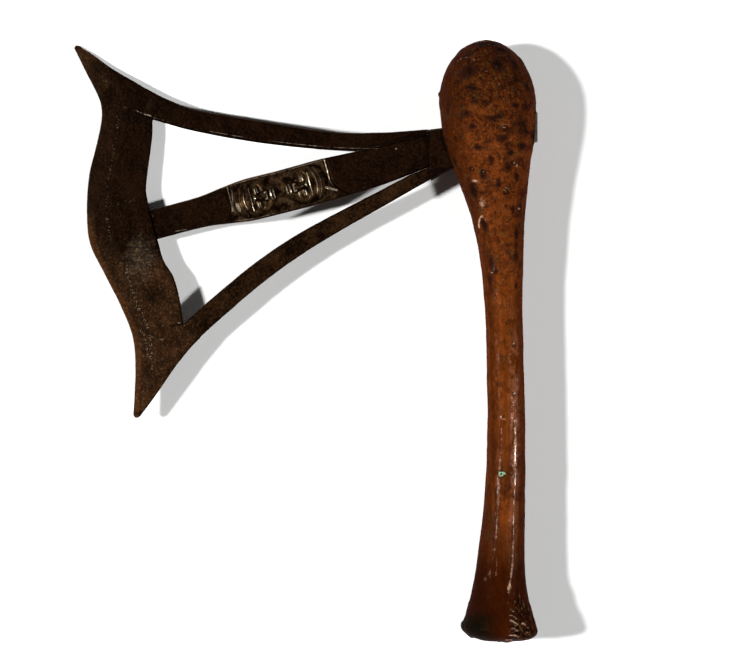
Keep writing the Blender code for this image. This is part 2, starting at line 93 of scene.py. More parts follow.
# Columns: Y, left X, right X, half depth
HAFT_PROFILE = (
    (8.5, -29, 22.3, 25.4), (14, -26.8, 20.6, 24.3), (24, -23.6, 17.1, 20.2), (40, -20.3, 14.4, 16.6),
    (61, -17, 13.5, 14.6), (93, -13.5, 13.9, 13.4), (136, -11.3, 14, 12.6), (178, -11.6, 13.2, 12.4),
    (221, -13.1, 12.1, 12.6), (253, -16.2, 12.8, 14.3), (285, -23.2, 13.9, 18), (317, -34.7, 17.5, 23.6),
    (338, -40.9, 20.7, 26.4), (356, -43.3, 21, 27.3),
)
RIM = HAFT_PROFILE[0]
WIDEST = HAFT_PROFILE[-1]
BUTT_FLAT = 0.46  # share of the butt's radius that is flat
BUTT_DOME_POWER = 2.4
BUTT_TILT = 2.2  # how much higher the butt's rim is on its left than at its middle
BUTT_TILT_FADE = 26.0  # Y at which the tilt has died away
REST_SINK = 1.0  # how far the round of the head and butt is cut flat below
HAFT_SIDES = 184
SIDES_ON_TOP = 0.4  # how much closer the sides lie on the haft's top, and wider below
HAFT_RINGS = 384
RING_SPREAD = 1.08  # above 1 the rings lie closer together at the butt
CROWN_RINGS = 52
BUTT_RINGS = 30
BUTT_CENTRE_RINGS = 10
CROWN_LEAN = -0.8  # how far the crown's pole lies left of the head's middle

# Marks on the copper. Columns: Y, turn from the top in degrees (+ to the right), half length
# along the haft, half width round it
STAINS = (
    (378, -28, 4.4, 3.6), (382, 14, 5, 3.4), (367, -24, 1.4, 3), (396, -4, 1.6, 9), (392, 30, 2.4, 5),
    (383, 44, 3.6, 3), (388, -40, 2.2, 3), (366, -17, 1.2, 1.6), (357, -17, 1.2, 2), (357, -6, 1.1, 1.3),
    (341, -21, 1.5, 1.6), (346, 3, 1.6, 2.8), (348, 10, 1.4, 2), (343, 42, 3.6, 4.6), (338, 50, 2.4, 3),
    (327, -17, 1.6, 2.2), (333, 16, 2.2, 3), (329, 24, 1.8, 2.4), (328, 46, 2.6, 3.6),
    (324, 27, 2.2, 1.8), (319, -1, 2.6, 1.5), (314, 23, 2.8, 2.4), (317, 31, 1.6, 1.8),
    (304, 7, 2.2, 1.3), (309, -17, 1.7, 1.7), (308, 40, 2.6, 1.8), (299, -43, 4.4, 2.6),
    (270, 42, 3.3, 1.8), (263, 40, 2, 1.4), (251, -30, 4.4, 1.8), (246, -22, 1.6, 1.6),
    (255, 39, 3.8, 1.6), (236, 42, 1.8, 1.1), (276, -36, 4.2, 2.4), (355, 33, 1.6, 2.6),
    (350, -28, 1.6, 2.2), (286, 33, 2.4, 1.2), (372, 38, 1.6, 2.2), (288, 52, 4, 1.6), (240, -40, 3, 1.3),
    (352, -58, 2.4, 2), (368, 56, 2, 2.6), (336, 72, 3, 3), (318, -66, 2.6, 2.2), (372, 98, 3.2, 3.4),
    (348, 128, 3, 3.6), (360, -122, 3.4, 2.8), (338, 158, 2.6, 3.2), (322, -148, 3, 3.4),
    (352, -164, 2.4, 2.6), (304, 118, 3.6, 2.6), (286, -128, 3.8, 2.2), (268, 150, 4, 2),
    (250, -110, 3.4, 1.6), (378, 170, 3, 3.6), (300, -176, 2.4, 2.6),
)
# Nail marks and small dents. Columns: Y, turn, half length, half width, depth, height of the rim
DIMPLES = (
    (333, -50, 1.5, 1.5, 0.55, 0.16), (313, -33, 1.6, 1.5, 0.5, 0.1), (311, -15, 1.5, 1.5, 0.45, 0.1),
    (340, 19, 1.7, 1.7, 0.42, 0.22), (298, 19, 1.6, 1.6, 0.48, 0.2), (378, -2, 0.9, 1.2, 0.26, 0.12),
    (373, 10, 0.9, 1.6, 0.28, 0.12), (368, 12, 1.2, 1.4, 0.24, 0.14), (317, 37, 1.1, 1.4, 0.36, 0.16),
    (296, 47, 0.9, 1.1, 0.3, 0.12), (287, 48, 1.3, 1.2, 0.34, 0.12), (327, -47, 0.8, 0.9, 0.22, 0.1),
    (305, -33, 0.9, 1.6, 0.26, 0.12), (291, -36, 1.4, 1.8, 0.3, 0.14), (274, -38, 5.2, 2.2, 0.85, 0.22),
    (301, -38, 3.4, 2.6, 0.42, 0.08), (197, 26, 1.6, 1.2, 0.34, 0.16), (171, -27, 1.2, 1.3, 0.26, 0.12),
    (164, 22, 1.6, 1.4, 0.34, 0.12), (158, 19, 1.1, 1.3, 0.26, 0.12), (149, -38, 1.2, 1.2, 0.3, 0.12),
    (149, -7, 1.2, 1.3, 0.28, 0.1), (145, -5, 0.9, 1.1, 0.22, 0.1), (111, -15, 1.1, 1.2, 0.36, 0.16),
    (111, 12, 0.9, 1.8, 0.2, 0.08), (118, 26, 1.4, 1.2, 0.26, 0.12), (97, 24, 1.2, 1.1, 0.22, 0.1),
    (361, -30, 1, 1.6, 0.22, 0.1), (352, 20, 1, 1.2, 0.2, 0.08), (322, 6, 1.2, 1.4, 0.24, 0.08),
    (264, 30, 1.4, 1.2, 0.26, 0.1), (258, 14, 1.2, 1.1, 0.18, 0.08), (228, -24, 1.8, 1.2, 0.22, 0.08),
    (212, 8, 1.4, 1.2, 0.16, 0.06), (362, 94, 1.5, 1.5, 0.4, 0.14), (330, 112, 1.5, 1.5, 0.42, 0.14),
    (340, -104, 1.5, 1.5, 0.4, 0.14), (312, -96, 1.5, 1.5, 0.4, 0.14), (365, 150, 1.6, 1.6, 0.4, 0.14),
    (332, -150, 1.6, 1.6, 0.42, 0.14), (300, 140, 1.5, 1.5, 0.38, 0.12),
    (282, -160, 1.8, 1.6, 0.34, 0.12), (352, -92, 1.2, 1.2, 0.3, 0.1), (240, 130, 1.5, 1.3, 0.3, 0.1),
    (206, -130, 1.5, 1.3, 0.28, 0.1), (170, 160, 1.6, 1.3, 0.3, 0.1),
    (132, -140, 1.4, 1.3, 0.3, 0.1), (92, 120, 1.5, 1.4, 0.3, 0.1),
)
# Folds and lapped edges of the sheet: height, run of the slope behind the edge, width of the edge
# itself, and the line as (Y, turn). The raised side is on the left of the line's direction.
FOLDS = (
    (0.5, 3.2, 0.7, ((384, -58), (386.6, -44), (386.4, -30), (384.2, -19))),
    (0.34, 2.4, 0.6, ((391.5, -32), (394.2, -18), (395.2, 2), (394.4, 24), (391, 44))),
    (0.4, 2.6, 0.8, ((397.4, -40), (398, 0), (397.2, 40))),
    (0.3, 2.6, 0.6, ((372, 40), (380, 36), (387, 34))),
    (0.36, 3, 0.7, ((362, 84), (372, 80), (382, 78), (389, 84))),
    (0.34, 3, 0.7, ((389, -98), (380, -104), (366, -100))),
    (0.4, 3.4, 0.8, ((384, 120), (388, 150), (387, 178))),
    (0.34, 3, 0.8, ((386, -176), (383, -150), (386, -124))),
    (0.46, 2.2, 0.6, ((150, 22), (136, 27), (120, 26), (108, 28), (93, 25), (80, 26), (67, 28),
            (53, 27), (46, 25), (40, 21), (34, 19), (28, 16))),
    (0.3, 2, 0.6, ((42, 24), (34, 30), (27, 26), (20, 27))),
    (0.24, 3, 0.8, ((64, -17), (74, -17), (87, -19), (94, -16), (108, -17), (124, -20), (150, -22))),
    (0.22, 2, 0.7, ((64, -17), (56, -21), (47, -25), (36, -22))),
    (0.3, 2.4, 0.6, ((246.5, -52), (245, -34), (244, -20))),
    (0.34, 2.6, 0.6, ((30, 178), (90, 171), (150, 176), (210, 168), (262, 174))),
)
# Painted highlights, as bright spots where the sheet catches the light: Y, turn, half length, half width,
# strength
GLINTS = (
    (305.3, -34, 1.3, 3, 0.85), (303.6, -29, 0.9, 1.4, 0.5), (291.8, -36, 1.6, 1.1, 0.85),
    (290.6, -31, 3.6, 2.8, 0.95), (287.2, 50, 0.9, 1.3, 1.3), (296.1, 48, 0.8, 0.8, 0.8),
    (317.2, 34, 0.7, 1, 1.3), (315.4, 39, 0.7, 0.8, 1.1), (298.8, 17, 0.6, 0.9, 0.8),
    (377.2, -3, 0.5, 1, 0.9), (372.4, 9, 0.5, 1, 0.7), (368.6, 13, 0.6, 0.8, 0.8),
    (340.6, 17, 0.6, 0.7, 0.7), (325, -44, 0.8, 1, 0.5), (197.6, 25, 0.6, 1.6, 0.8),
    (162, 18, 0.8, 1.2, 0.6), (157, 21, 0.8, 1.5, 0.8), (149, -18, 1.1, 1, 0.9),
    (147.6, -9, 0.7, 2.2, 0.7), (148.4, 17, 1.2, 1.2, 1.1), (146.6, 25, 1, 1.4, 1),
    (139, -17, 3.4, 0.7, 0.6), (139, 26, 3.4, 0.9, 0.8), (122, 27, 4, 1.1, 0.7), (117, 26, 1.2, 1.6, 0.9),
    (37.5, 20, 2.8, 0.7, 1.1), (35.6, 17, 1.8, 0.6, 1), (36.4, 23, 2, 0.5, 0.9), (33, 17, 1.2, 0.8, 0.8),
    (309.6, -8, 0.6, 0.6, 0.5), (60, -27, 3.6, 1.6, 0.42), (52, -33, 3, 2.2, 0.46),
    (45, -28, 2.6, 1.8, 0.44), (41, -35, 1.8, 1.6, 0.46), (388, 20, 0.6, 1.4, 0.5),
    (383.6, 38, 0.9, 0.7, 0.5),
)
# Painted highlights along the sheet's lapped edges, folds and ripples: half width, strength, and the line
# as (Y, turn)
LIT_SEAMS = (
    (1.3, 0.66, ((142, 25), (130, 27), (120, 26), (112, 28))),
    (0.75, 0.52, ((114, 28), (108, 28), (100, 26), (93, 25), (80, 26), (67, 28), (53, 27), (46, 25),
            (40, 21), (35, 19))),
    (0.95, 0.85, ((282.6, -31), (282, -37), (279.8, -46), (276, -52), (272.5, -51))),
    (0.5, 0.95, ((18.3, 13), (18, 21), (16.6, 26), (15.2, 27))),
    (0.6, 1.2, ((15.1, 12), (14.4, 20), (13, 25), (11.6, 28))),
    (0.6, 1.2, ((4.9, 10), (5.2, 22), (4.1, 29))),
    (0.5, 1.1, ((12.6, 33), (12.5, 40), (10.8, 47))),
    (0.45, 0.9, ((27.8, 15), (24, 17))),
    (0.45, 0.8, ((1.4, 6), (1.7, 18), (1.2, 28))),
    (0.4, 0.7, ((22.4, 14), (21.6, 21), (19.9, 24))),
    (0.4, 0.6, ((9.8, 14), (9.6, 22), (8.4, 28))),
    (0.8, 0.42, ((146, -18), (132, -17), (120, -19), (108, -17), (93, -16), (87, -19), (73, -18),
            (62, -17))),
    (0.5, 0.42, ((64, -17), (56, -21), (47, -25), (38, -23))),
    (0.45, 0.38, ((60, -14), (50, -10), (40, -12))),
    (0.5, 0.45, ((246.5, -50), (245, -34), (244.2, -22))),
)
# Crescent ripples where the sheet is gathered at the butt: Y, turn, radius, width round the haft
RIPPLES = (
    (20.8, 21, 4.4, 18), (16.9, 21, 4.2, 24), (12.9, 22, 4.2, 26), (9, 21, 4.4, 26), (4.8, 22, 4.6, 28),
    (13.6, 42, 3.4, 15), (9.8, 44, 3.6, 14), (13, 108, 5, 30), (15, 140, 5.2, 30), (9, 168, 5, 30),
    (14, -160, 5.2, 30), (10, -128, 5, 28), (12, -92, 4.6, 22),
)
RIPPLE_RISE = 0.55
RIPPLE_SLANT = 0.28  # how the ripples fall towards the right
RIPPLE_HALF = 0.85
RIPPLE_FLAT = 0.8  # below 1 a ripple is flatter than a circle's arc
# Ridges of the gathered sheet that run down the flare: Y above, turn above, Y below, turn below
GATHERS = (
    (31, 47, 20, 50), (27, 60, 15, 64), (36, 40, 23, 42), (21, 36, 15, 46), (7, 36, 3.4, 46),
    (19, 50, 11.4, 62), (9.4, 54, 5, 62), (18.4, 66, 10, 76), (9.6, 68, 4.6, 76), (24, 47, 21, 40),
    (15, 62, 18, 56), (24, 28, 20.6, 36), (29, 27, 24.8, 31), (28, 100, 12, 98), (30, 134, 13, 130),
    (26, -132, 12, -136), (30, -104, 14, -104),
)
GATHER_RISE = 0.6
GATHER_HALF = 0.85
LIP_RISE = 0.55  # lips of the sheet round the slot
LIP_RUN = 1.3
# Bumps that show on the outline. Columns: Y, turn, half length, half width, rise
SILHOUETTE_BUMPS = ((363.5, -90, 1.2, 1.1, 0.9), (338, 88, 4, 1.6, 0.5))
# Verdigris: Y, turn, half length, half width, strength
VERDIGRIS = ((111, -15, 1.4, 1.5, 1), (111.6, -5, 0.8, 1.5, 0.55))
# A dent's rim and hollow, as shares of its half sizes: middle and spread
DENT_RIM = (1.25, 0.4)
DENT_HOLLOW = 0.75
DENT_POWER = 2.4  # above 2 a dent has a flatter floor and steeper sides
RUBBED_AND_LIT_RIM = (1.45, 0.3)  # the same for its rubbed rim, painted lit on its upper side, and for the dirt and painted shade inside that
DIRTY_AND_SHADED_RIM = (0.85, 0.4)
BRIGHT_MIDDLE = (0.25, 0.3)  # how far up a dent its painted highlight in the middle lies, and its spread
LONG_DENT = 1.9  # dents of a greater half length are painted more faintly
STAIN_FALL = (0.55, 1.3)  # how fast a stain fades outwards, and the power that makes its border sharper
VERDIGRIS_FALL = 0.7
FOLD_RUN = (1.2, 1.0)  # distances over which the painted light above a fold and the dirt and painted shade below it fade
FOLD_PAINT = (2.2, 1.8)  # strength of each, for a fold 1 mm high
# Middle and spread of the painted light on a ripple or a gather, and of the dirt and painted shade beside
# it
RIPPLE_LIGHT = (0.2, 0.45)
RIPPLE_DIRT_AND_SHADE = (-1.4, 0.7)
GATHER_LIGHT = (0.0, 0.55)
GATHER_DIRT_AND_SHADE = (-1.2, 0.7)
GATHER_ENDS = (0.0, 0.4)  # share of its length over which a gather rises, and the same for a painted highlight line
SEAM_ENDS = (0.0, 0.6)
CLOSED_FOLD = 0.55  # share of a fold's edge over which its lower side falls away
LINE_ENDS = (-0.02, 0.35)  # shares of a fold's first and last span between which it rises
CRUMPLE = (48.0, 24.0)  # turn of the middle of the crumpled part of the butt, and its spread
CRUMPLE_POWER = 4
CRUMPLE_ENDS = ((36.0, 20.0), (0.5, 4.0))  # Ys over which it comes in, and dies away at the rim
SLOT_DIRT_AND_SHADE = 1.6  # distance over which the dirt and painted shade round the slot fades
# Painted shade in brown down both sides of the haft: turns over which it comes in, and its strength
SIDE_SHADE = ((22.0, 58.0), 0.7)
RIGHT_HEAD = ((280.0, 312.0), 0.6)  # Ys over which it fades on the head's right side, and by how much
LEFT_HEAD = ((12.0, 60.0), (270.0, 312.0))  # turns and Ys over which more painted shade darkens the head's left side
# Streaks of painted shade along the haft: turn, spread in degrees, Ys over which it comes in, strength
SHADE_STREAKS = ((-44.0, 25.0, (305.0, 250.0), 1.0), (-27.0, 12.0, (122.0, 95.0), 0.9))
# The hand's polish, in the same columns
POLISH_STREAKS = ((26.0, 15.0, (240.0, 150.0), 1.0), (-22.0, 9.0, (290.0, 230.0), 0.03),
                  (-22.0, 9.0, (150.0, 110.0), 0.07))
POLISH_FADE = ((125.0, 95.0), 0.6)  # Ys over which its first streak fades again, and by how much

# Blade: the middle plane's height at the haft and its slopes.
BLADE_ROOT = Vector((-11.0, 335.0, 27.0))
LEAN = -0.05  # rise of the plane along +Y: the lower horn sits higher
HORN_TIP = Vector((-287.4, 397.0))
HORN_TIP_HALF = 0.9  # half thickness at the horn's tip

# Cutting edge, from the upper horn to the lower one. Columns: Y, X
CUTTING_EDGE = (
    (395.7, -287.8), (378, -279), (361, -270.6), (350, -269.1), (333, -272), (309, -277.6), (283, -278.9),
    (263, -276.2), (243, -266.2), (221, -255.1), (201, -247.6), (178, -246), (149.8, -247.4),
)
HORN_TIP_ENDS = ((-287.5, 396.5), (-286.5, 397.6))  # the blunt ends of the two horns
LOWER_TIP_ENDS = ((-246.1, 148.2), (-244.3, 148.0))

# The plate's other side, span by span: how low the cutting edge has come at the span's end, the
# number of stations, and the points of the inner outline.
PLATE_SPANS = (
    (352, 84, ((-284.8, 397.5), (-273.3, 390), (-261.3, 381.3), (-243.3, 370.7), (-228, 362.2))),
    (345, 24, ((-228, 362.2), (-234.7, 347))),
    (290, 72, ((-234.7, 347), (-235.2, 335), (-238.3, 311), (-239.2, 300), (-238.1, 293.3))),
    (264, 36, ((-238.1, 293.3), (-231.3, 266.7))),
    (208, 76, ((-231.3, 266.7), (-227.3, 253.3), (-220.6, 242), (-216.4, 227), (-214, 211))),
    (202, 20, ((-214, 211), (-202.6, 201.6))),
    (149.8, 80, ((-202.6, 201.6), (-209.6, 194.2), (-218.3, 183.4), (-232.9, 162.1), (-242.5, 149.2))),
)
PLATE_HALF = 1.75  # half thickness of the plate
EDGE_HALF = 0.3  # half thickness of the blunt cutting edge
EDGE_BEVEL = 17.0  # width over which the plate thins to its edge
BEVEL_POWER = 0.75  # below 1 the bevel is a little hollow
FULL_WIDTH = 27.0  # the plate keeps its full thickness from this width up
INNER_SHARE = 0.3  # share of the thickness left on its inner side
PLATE_ROUND = 1.2  # rounding of the plate's inner side
PLATE_ROWS = 52
ROUND_ROWS = 4
ROUND_SHARE = 0.3  # greatest share of a width that one rounded edge takes

# Struts: edge curves from the plate to the block at the haft, and tongues that lap the plate.
UPPER_TOP = ((-230.2, 363.2), (-208, 354.6), (-180.7, 349.3), (-149.3, 344), (-117.3, 339),
             (-84, 338.2), (-50.4, 340.3))
UPPER_LOW = ((-234.7, 347.3), (-205.3, 339.3), (-165.3, 332), (-117.3, 326.7), (-84, 325.6),
             (-50.4, 326.6))
UPPER_TONGUE_TOP = ((-269.5, 387.2), (-261.3, 381.3), (-243.3, 370.7), (-230.2, 363.2))
UPPER_TONGUE_LOW = ((-271.5, 383.6), (-259, 362.5), (-247, 354), (-234.7, 347.3))
LOWER_TOP = ((-214, 210.6), (-197.3, 225.6), (-165.3, 252), (-133.3, 273), (-85.3, 298.2),
             (-48.1, 317.6))
LOWER_LOW = ((-204.9, 199.8), (-187.6, 215.4), (-156.9, 241.2), (-125, 263.2), (-77.3, 290.8),
             (-47.7, 307.5))
LOWER_TONGUE_TOP = ((-236, 171), (-233, 189), (-225, 204), (-214, 210.6))
LOWER_TONGUE_LOW = ((-233.2, 162.6), (-225.6, 172.9), (-218.3, 183.4), (-204.9, 199.8))
UPPER_CURVES = (UPPER_TONGUE_TOP, UPPER_TONGUE_LOW, UPPER_TOP, UPPER_LOW)
LOWER_CURVES = (LOWER_TONGUE_TOP, LOWER_TONGUE_LOW, LOWER_TOP, LOWER_LOW)
STRUT_HALF = 2.4
STRUT_ROUND = 1.5
SIDE_SHARE = 0.32  # share of a bar's thickness that its flat sides keep
EDGE_POWER = 1.5  # 1 makes a bar's edges plain chamfers, more makes them rounder
LAP_HALF = 0.15  # a tongue starts this far from the middle plane
TONGUE_LEAST = 0.8  # least thickness of a tongue
WELD_SINK = 0.35  # how far a welded tongue lies below the plate's face
LAP_NARROW = 16.0  # how much wider than its tongue the plate is at a lap
# Both sides of the slit at the plate's lower inner corner
LOWER_SLIT = (((-213.2, 211.6), (-218.0, 210.4), (-222.6, 209.4)),
              ((-213.6, 210.5), (-218.2, 209.4), (-222.7, 209.0)))
SLIT_DEPTH = 1.3
TONGUE_STATIONS = 64
STRUT_STATIONS = 300
STRUT_ROWS = 20

# Central strut: distances along and across its own axis.
STRAP_START = Vector((-234.1, 276.5))
STRAP_ANGLE = math.radians(15.1)
# Columns: distance along, upper edge, lower edge
STRAP_PROFILE = (
    (0.7, 10.5, -9.5), (34, 10.6, -10), (50, 12.4, -12.2), (66, 13.9, -14.4), (90, 13.5, -15),
    (118, 13.6, -15.4), (142, 12.3, -14.7), (160, 11.4, -13.6), (190, 10.5, -10.4),
)
STRAP_HALF = 2.6
STRAP_ROUND = 1.2
STRAP_TONGUE = 12.0  # length behind the plate
TONGUE_NARROW = 0.82  # share of its width that the tongue's end keeps
TONGUE_ROWS = 16
STRAP_ROWS = 76  # rows across the upper side, which carries the relief
STRAP_LOW_ROWS = 22
# Upper and lower edges of the block and the tang: distances along and across at both ends
BLOCK_UPPER = ((192.8, 13.6), (206.0, 11.8))
BLOCK_LOWER = ((186.6, -20.0), (206.0, -15.2))
BLOCK_HALF = 4.2
BLOCK_ROUND = 2.2
TANG_UPPER = ((206.2, 5.6), (266.7, 5.6))
TANG_LOWER = ((206.2, -13.6), (261.5, -13.6))
TANG_HALF = 2.6
SECTIONS = {"strap": (STRAP_HALF, STRAP_ROUND), "block": (BLOCK_HALF, BLOCK_ROUND),
            "tang": (TANG_HALF, STRAP_ROUND)}
BLOCK_STATIONS = 24
TANG_STATIONS = 30
BLOCK_OUTSIDE = 8  # stations of the block that stay well clear of the haft
SLOT_OVERRUN = 4.0  # how far the slot's cutter runs past the tang's end

# Relief: two heads, chin to chin, each measured from the groove between their chins.
RELIEF_MIDDLE = 88.0
RELIEF_AXIS = -0.6  # distance of the relief's middle line from the strap's axis
HEAD_LENGTH = 31.8
HEAD_HALF = 12.2
HEAD_RISE = 3.4
SKULL_POWER = 0.85  # below 1 the head's sides are steeper
HEAD_MIDDLE = 0.52  # shares of the head's length, from chin to crown
BROW_LINE = 0.58
EYE_LINE = 0.5
NOSE_BASE = 0.29
MOUTH_LINE = 0.17
CHIN_WIDTH = 0.6  # share of the head's width at its chin
EYE_SPACING = 5.2  # from the nose to the middle of an eye
# Carved features: half length along the head, half width across it, height
SOCKET = (4.4, 4.6, -1.5)
EYE = (2.0, 3.2, 1.9)
LIPS = (2.5, 4.8, 1.5)
PARTING = (0.8, 4.4, -1.1)
FOREHEAD = (2.0, 1.3)  # length over which the brow rises, height
NOSE_HALF = (1.7, 3.3)  # half width at the brow and at the base
NOSE_RISE = (1.5, 3.1)
NOSE_END = 1.12  # where the nose ends, as a share of brow to base
NOSTRIL = (2.6, 1.2, 0.35)  # distance from the nose's line, half width, share of the nose's rise
LID = (0.22, 0.35)  # half width as a share of the eye, rise
LASH = (0.32, -0.55, 0.2)  # half width and depth of the line between the lids, how low it lies
BROW_RIDGE = (0.9, 0.55)
HAIR_BAND = (0.9, 0.38)
HAIR_LINES = (6.6, 9.6)
HAIR_ARCH = 0.03  # how the hair's lines arch, and the brow
BROW_ARCH = 0.05
BROW_LIFT = 0.4
BROW_SPAN = 0.8  # share of the head's half width that the brow takes
SKULL_ROUND = (2.3, 3)  # powers of the head's outline across and along
NOSTRIL_AT = (0.9, 0.16)  # where a nostril lies, as a share of brow to base, and its half length there
BORDER = (1.9, 0.55, 0.8)  # a border's distance past the crown, half width and rise
BORDER_GROOVE = (3.0, 0.6, -0.6)
BORDER_BOW = 0.06  # how the borders bow outwards, towards the strap's lower edge
BORDER_STRAIGHT = 1.0
BORDER_ROOM = 9.0  # length that the borders take past each head
RELIEF_STATIONS = 210
PLAIN_STATIONS = 60  # before and after the relief

# Punched rings: rows of (X, Y) places on the plate
RING_ROWS = (
    ((-260.7, 357), (-258.2, 349), (-258.8, 339.5), (-260.6, 330.5), (-262.6, 319.3), (-264, 307.5),
            (-265.2, 294), (-265.2, 280), (-262.4, 267.3)),
    ((-252.2, 247), (-248.6, 234), (-244, 221.5), (-238.8, 210.7), (-236.2, 200), (-235.2, 187),
            (-234.6, 180)),
    ((-241.8, 206), (-239.4, 199), (-238.4, 191)),
    ((-258, 291.5), (-252.5, 292), (-246.8, 293.5)),
)
RING_LIP = 0.15
# Worn lines and painted highlights, and painted shade lines where the strength is negative: both ends as X
# and Y, half width, strength
WEAR_AND_LIGHT_MARKS = (
    (-259.3, 357.4, -246, 353.6, 0.4, 0.55), (-246, 353.6, -240.4, 351, 0.55, 0.85),
    (-240.4, 351, -235.4, 349.8, 0.6, 0.95), (-247, 352, -235, 348, 0.8, -0.9),
    (-217.3, 211.6, -213, 209.6, 0.5, 1), (-222.6, 209.2, -213.4, 210.6, 0.6, -1),
    (-219.3, 272.6, -211.3, 273.8, 0.5, 0.9), (-72.4, 327.3, -71.6, 327.3, 0.6, 1.3),
    (-236, 202.6, -226, 199.4, 0.4, 0.8), (-235, 199.6, -222, 201.4, 0.4, 0.7),
    (-237, 205, -231, 203.6, 0.35, 0.6), (-181.6, 300, -180.4, 286, 0.5, 0.9),
    (-250.4, 262, -246, 258.4, 0.4, 0.6), (-243, 263.6, -239.4, 262.2, 0.4, 0.6),
    (-52, 343, -51, 328, 1.8, -1.3), (-118.5, 301.6, -111.5, 299.8, 0.9, 1.3),
    (-178, 290.2, -176.2, 286.6, 1.3, 1.3),
)
ARRIS_END = -80.0  # X up to which the strut's arris has a painted highlight
LIT_ARRIS = (1.7, 0.35, 0.85)  # distance from the upper strut's lower edge, half width and strength of the painted highlight on the arris
TANG_SHOWS = (19.0, 20.0)  # X over which the tang comes out of the haft
TANG_LIGHT = 0.9  # how bright the tang's end is painted, as worn metal in the light
# Spots of rust and the plate's pale patch: X, Y, half length along X, half length along Y
RUST_SPOT = (-266.0, 372.0, 6.0, 9.0)
PALE_PATCH = (-243.0, 254.0, 13.0, 19.0)
# Rust on the blade. Columns: strength, Xs over which it comes in, Ys over which it comes in
BLADE_RUST = (
    (0.6, (-250.0, -268.0), (350.0, 392.0)),  # the upper horn's tip
    (0.72, None, (205.0, 168.0)),  # the lower horn
    (0.62, None, (300.0, 240.0)),  # the plate's lower half
)
RUST_SPOT_STRENGTH = 0.6
EDGE_RUST = (0.95, (9.0, 2.0), (310.0, 270.0))  # strength, distances from the cutting edge, and Ys
BLADE_STARTS = (-185.0, -215.0)  # Xs over which the struts give way to the plate
CARVED_ENDS = (4.5, 1.0)  # how far past the crowns the carved part fades
CARVED_SIDES = (15.0, 12.5)  # distances from the strap's axis over which it comes in
RING_JITTER = 0.35  # how far a ring may stray along X and along Y
RING_SIZES = (0.82, 1.12)  # least and greatest share of a ring's size
RING_SIDES = 12
LIP_SIDES = 5
RING_FINDER = 0.02  # length, in metres, over which a ring is dropped onto the plate

# What is beaten into the surfaces. Columns: layer, kind, depth and size (in millimetres, or the setting
# that gives them), share of that depth, scales that stretch the layer, and the Ys, in metres of the
# frame, over which it comes in
EVEN = (1.0, 1.0, 1.0)
COPPER_LAYERS = (
    ("Blows", "cells", "blow_depth", "blow_size", 1.0, (1.0, 0.42, 1.0), None),
    ("Waves", "cloud", "wave_depth", 15.0, 1.0, (1.0, 0.7, 1.0), None),
    ("Grain", "cloud", 0.15, 2.2, 1.0, EVEN, None),
    ("Head creases", "cloud", "crease_depth", 4.6, 1.0, (0.28, 1.0, 0.28), (0.04, 0.09)),
    ("Grip creases", "cloud", "crease_depth", 4.0, 0.6, (1.0, 0.11, 1.0), (0.05, 0.02)),
)
IRON_LAYERS = (
    ("Blows", "cells", "blow_depth", "blow_size", 1.0, EVEN, None),
    ("Waves", "cloud", "wave_depth", 18.0, 1.0, EVEN, None),
    ("Grain", "cloud", "grain_depth", 1.7, 1.0, EVEN, None),
    ("Pits", "pits", "pit_depth", 2.2, 1.0, EVEN, None),
)
COPPER_SEED = 3.0
IRON_SEED = 6.0
RING_SEED = 5
SEED_STEP = 7.0  # between one layer's seed and the next one's
ABOVE_FLOOR = (-9.0, -9.0, 0.0)  # least place of a beaten point, in metres: only its height matters
PIT_BORDER = (0.6, 0.74)  # of the noise, between which a pit sinks in
CARVED_BEATING = 0.5  # share of the depths on the carved strut

# How hollows are found, for the dirt and painted shade laid in them: rounds of smoothing, depth in
# millimetres that counts as full, and how much painted shade lies on the sides that face the butt or the
# haft
COPPER_HOLLOWS = (16, 0.22, 0.0)
IRON_HOLLOWS = (12, 0.16, 0.9)
WIDE_SPREAD = 3  # how many times as many rounds make the wider surroundings
SHADED_SIDES = (0.2, 0.75)  # how much a side faces them where the shade begins, and is full
COPPER_CREASE = 48.0  # edges sharper than these angles, in degrees, are shaded sharp
IRON_CREASE = 40.0

# Noises of the finishes. Columns: size in metres, detail, roughness, seed, and the scales that stretch
# it, if any
COPPER_NOISES = {
    "cloud": (0.024, 3.0, 0.55, 2.0),
    "mottle": (0.0062, 4.0, 0.6, 5.0),
    "speck": (0.0017, 3.0, 0.6, 9.0),
    "bands": (0.004, 4.0, 0.6, 7.0, (0.3, 1.0, 0.3)),
    "streak": (0.003, 4.0, 0.6, 3.0, (1.0, 0.16, 1.0)),
    "fleck": (0.0019, 3.0, 0.65, 17.0, (1.0, 0.35, 1.0)),
    "blotch": (0.0048, 2.0, 0.5, 51.0),
    "olive": (0.0046, 3.0, 0.6, 41.0),
    "pepper": (0.0013, 2.0, 0.5, 81.0),
    "torn": (0.0036, 4.0, 0.7, 11.0),
    "stains": (0.0066, 3.0, 0.6, 21.0),
    "folds": (0.0019, 3.0, 0.55, 61.0, (1.0, 0.55, 1.0)),
    "notched": (0.0032, 3.0, 0.65, 71.0, (0.6, 1.0, 0.6)),
    "crumbs": (0.0015, 2.0, 0.6, 31.0),
}
IRON_NOISES = {
    "cloud": (0.02, 3.0, 0.6, 4.0),
    "mottle": (0.0048, 4.0, 0.65, 8.0),
    "grain": (0.0016, 4.0, 0.75, 12.0),
    "fine": (0.0008, 2.0, 0.6, 15.0),
    "wrinkles": (0.0013, 3.0, 0.6, 23.0, (0.3, 1.0, 1.0)),
}
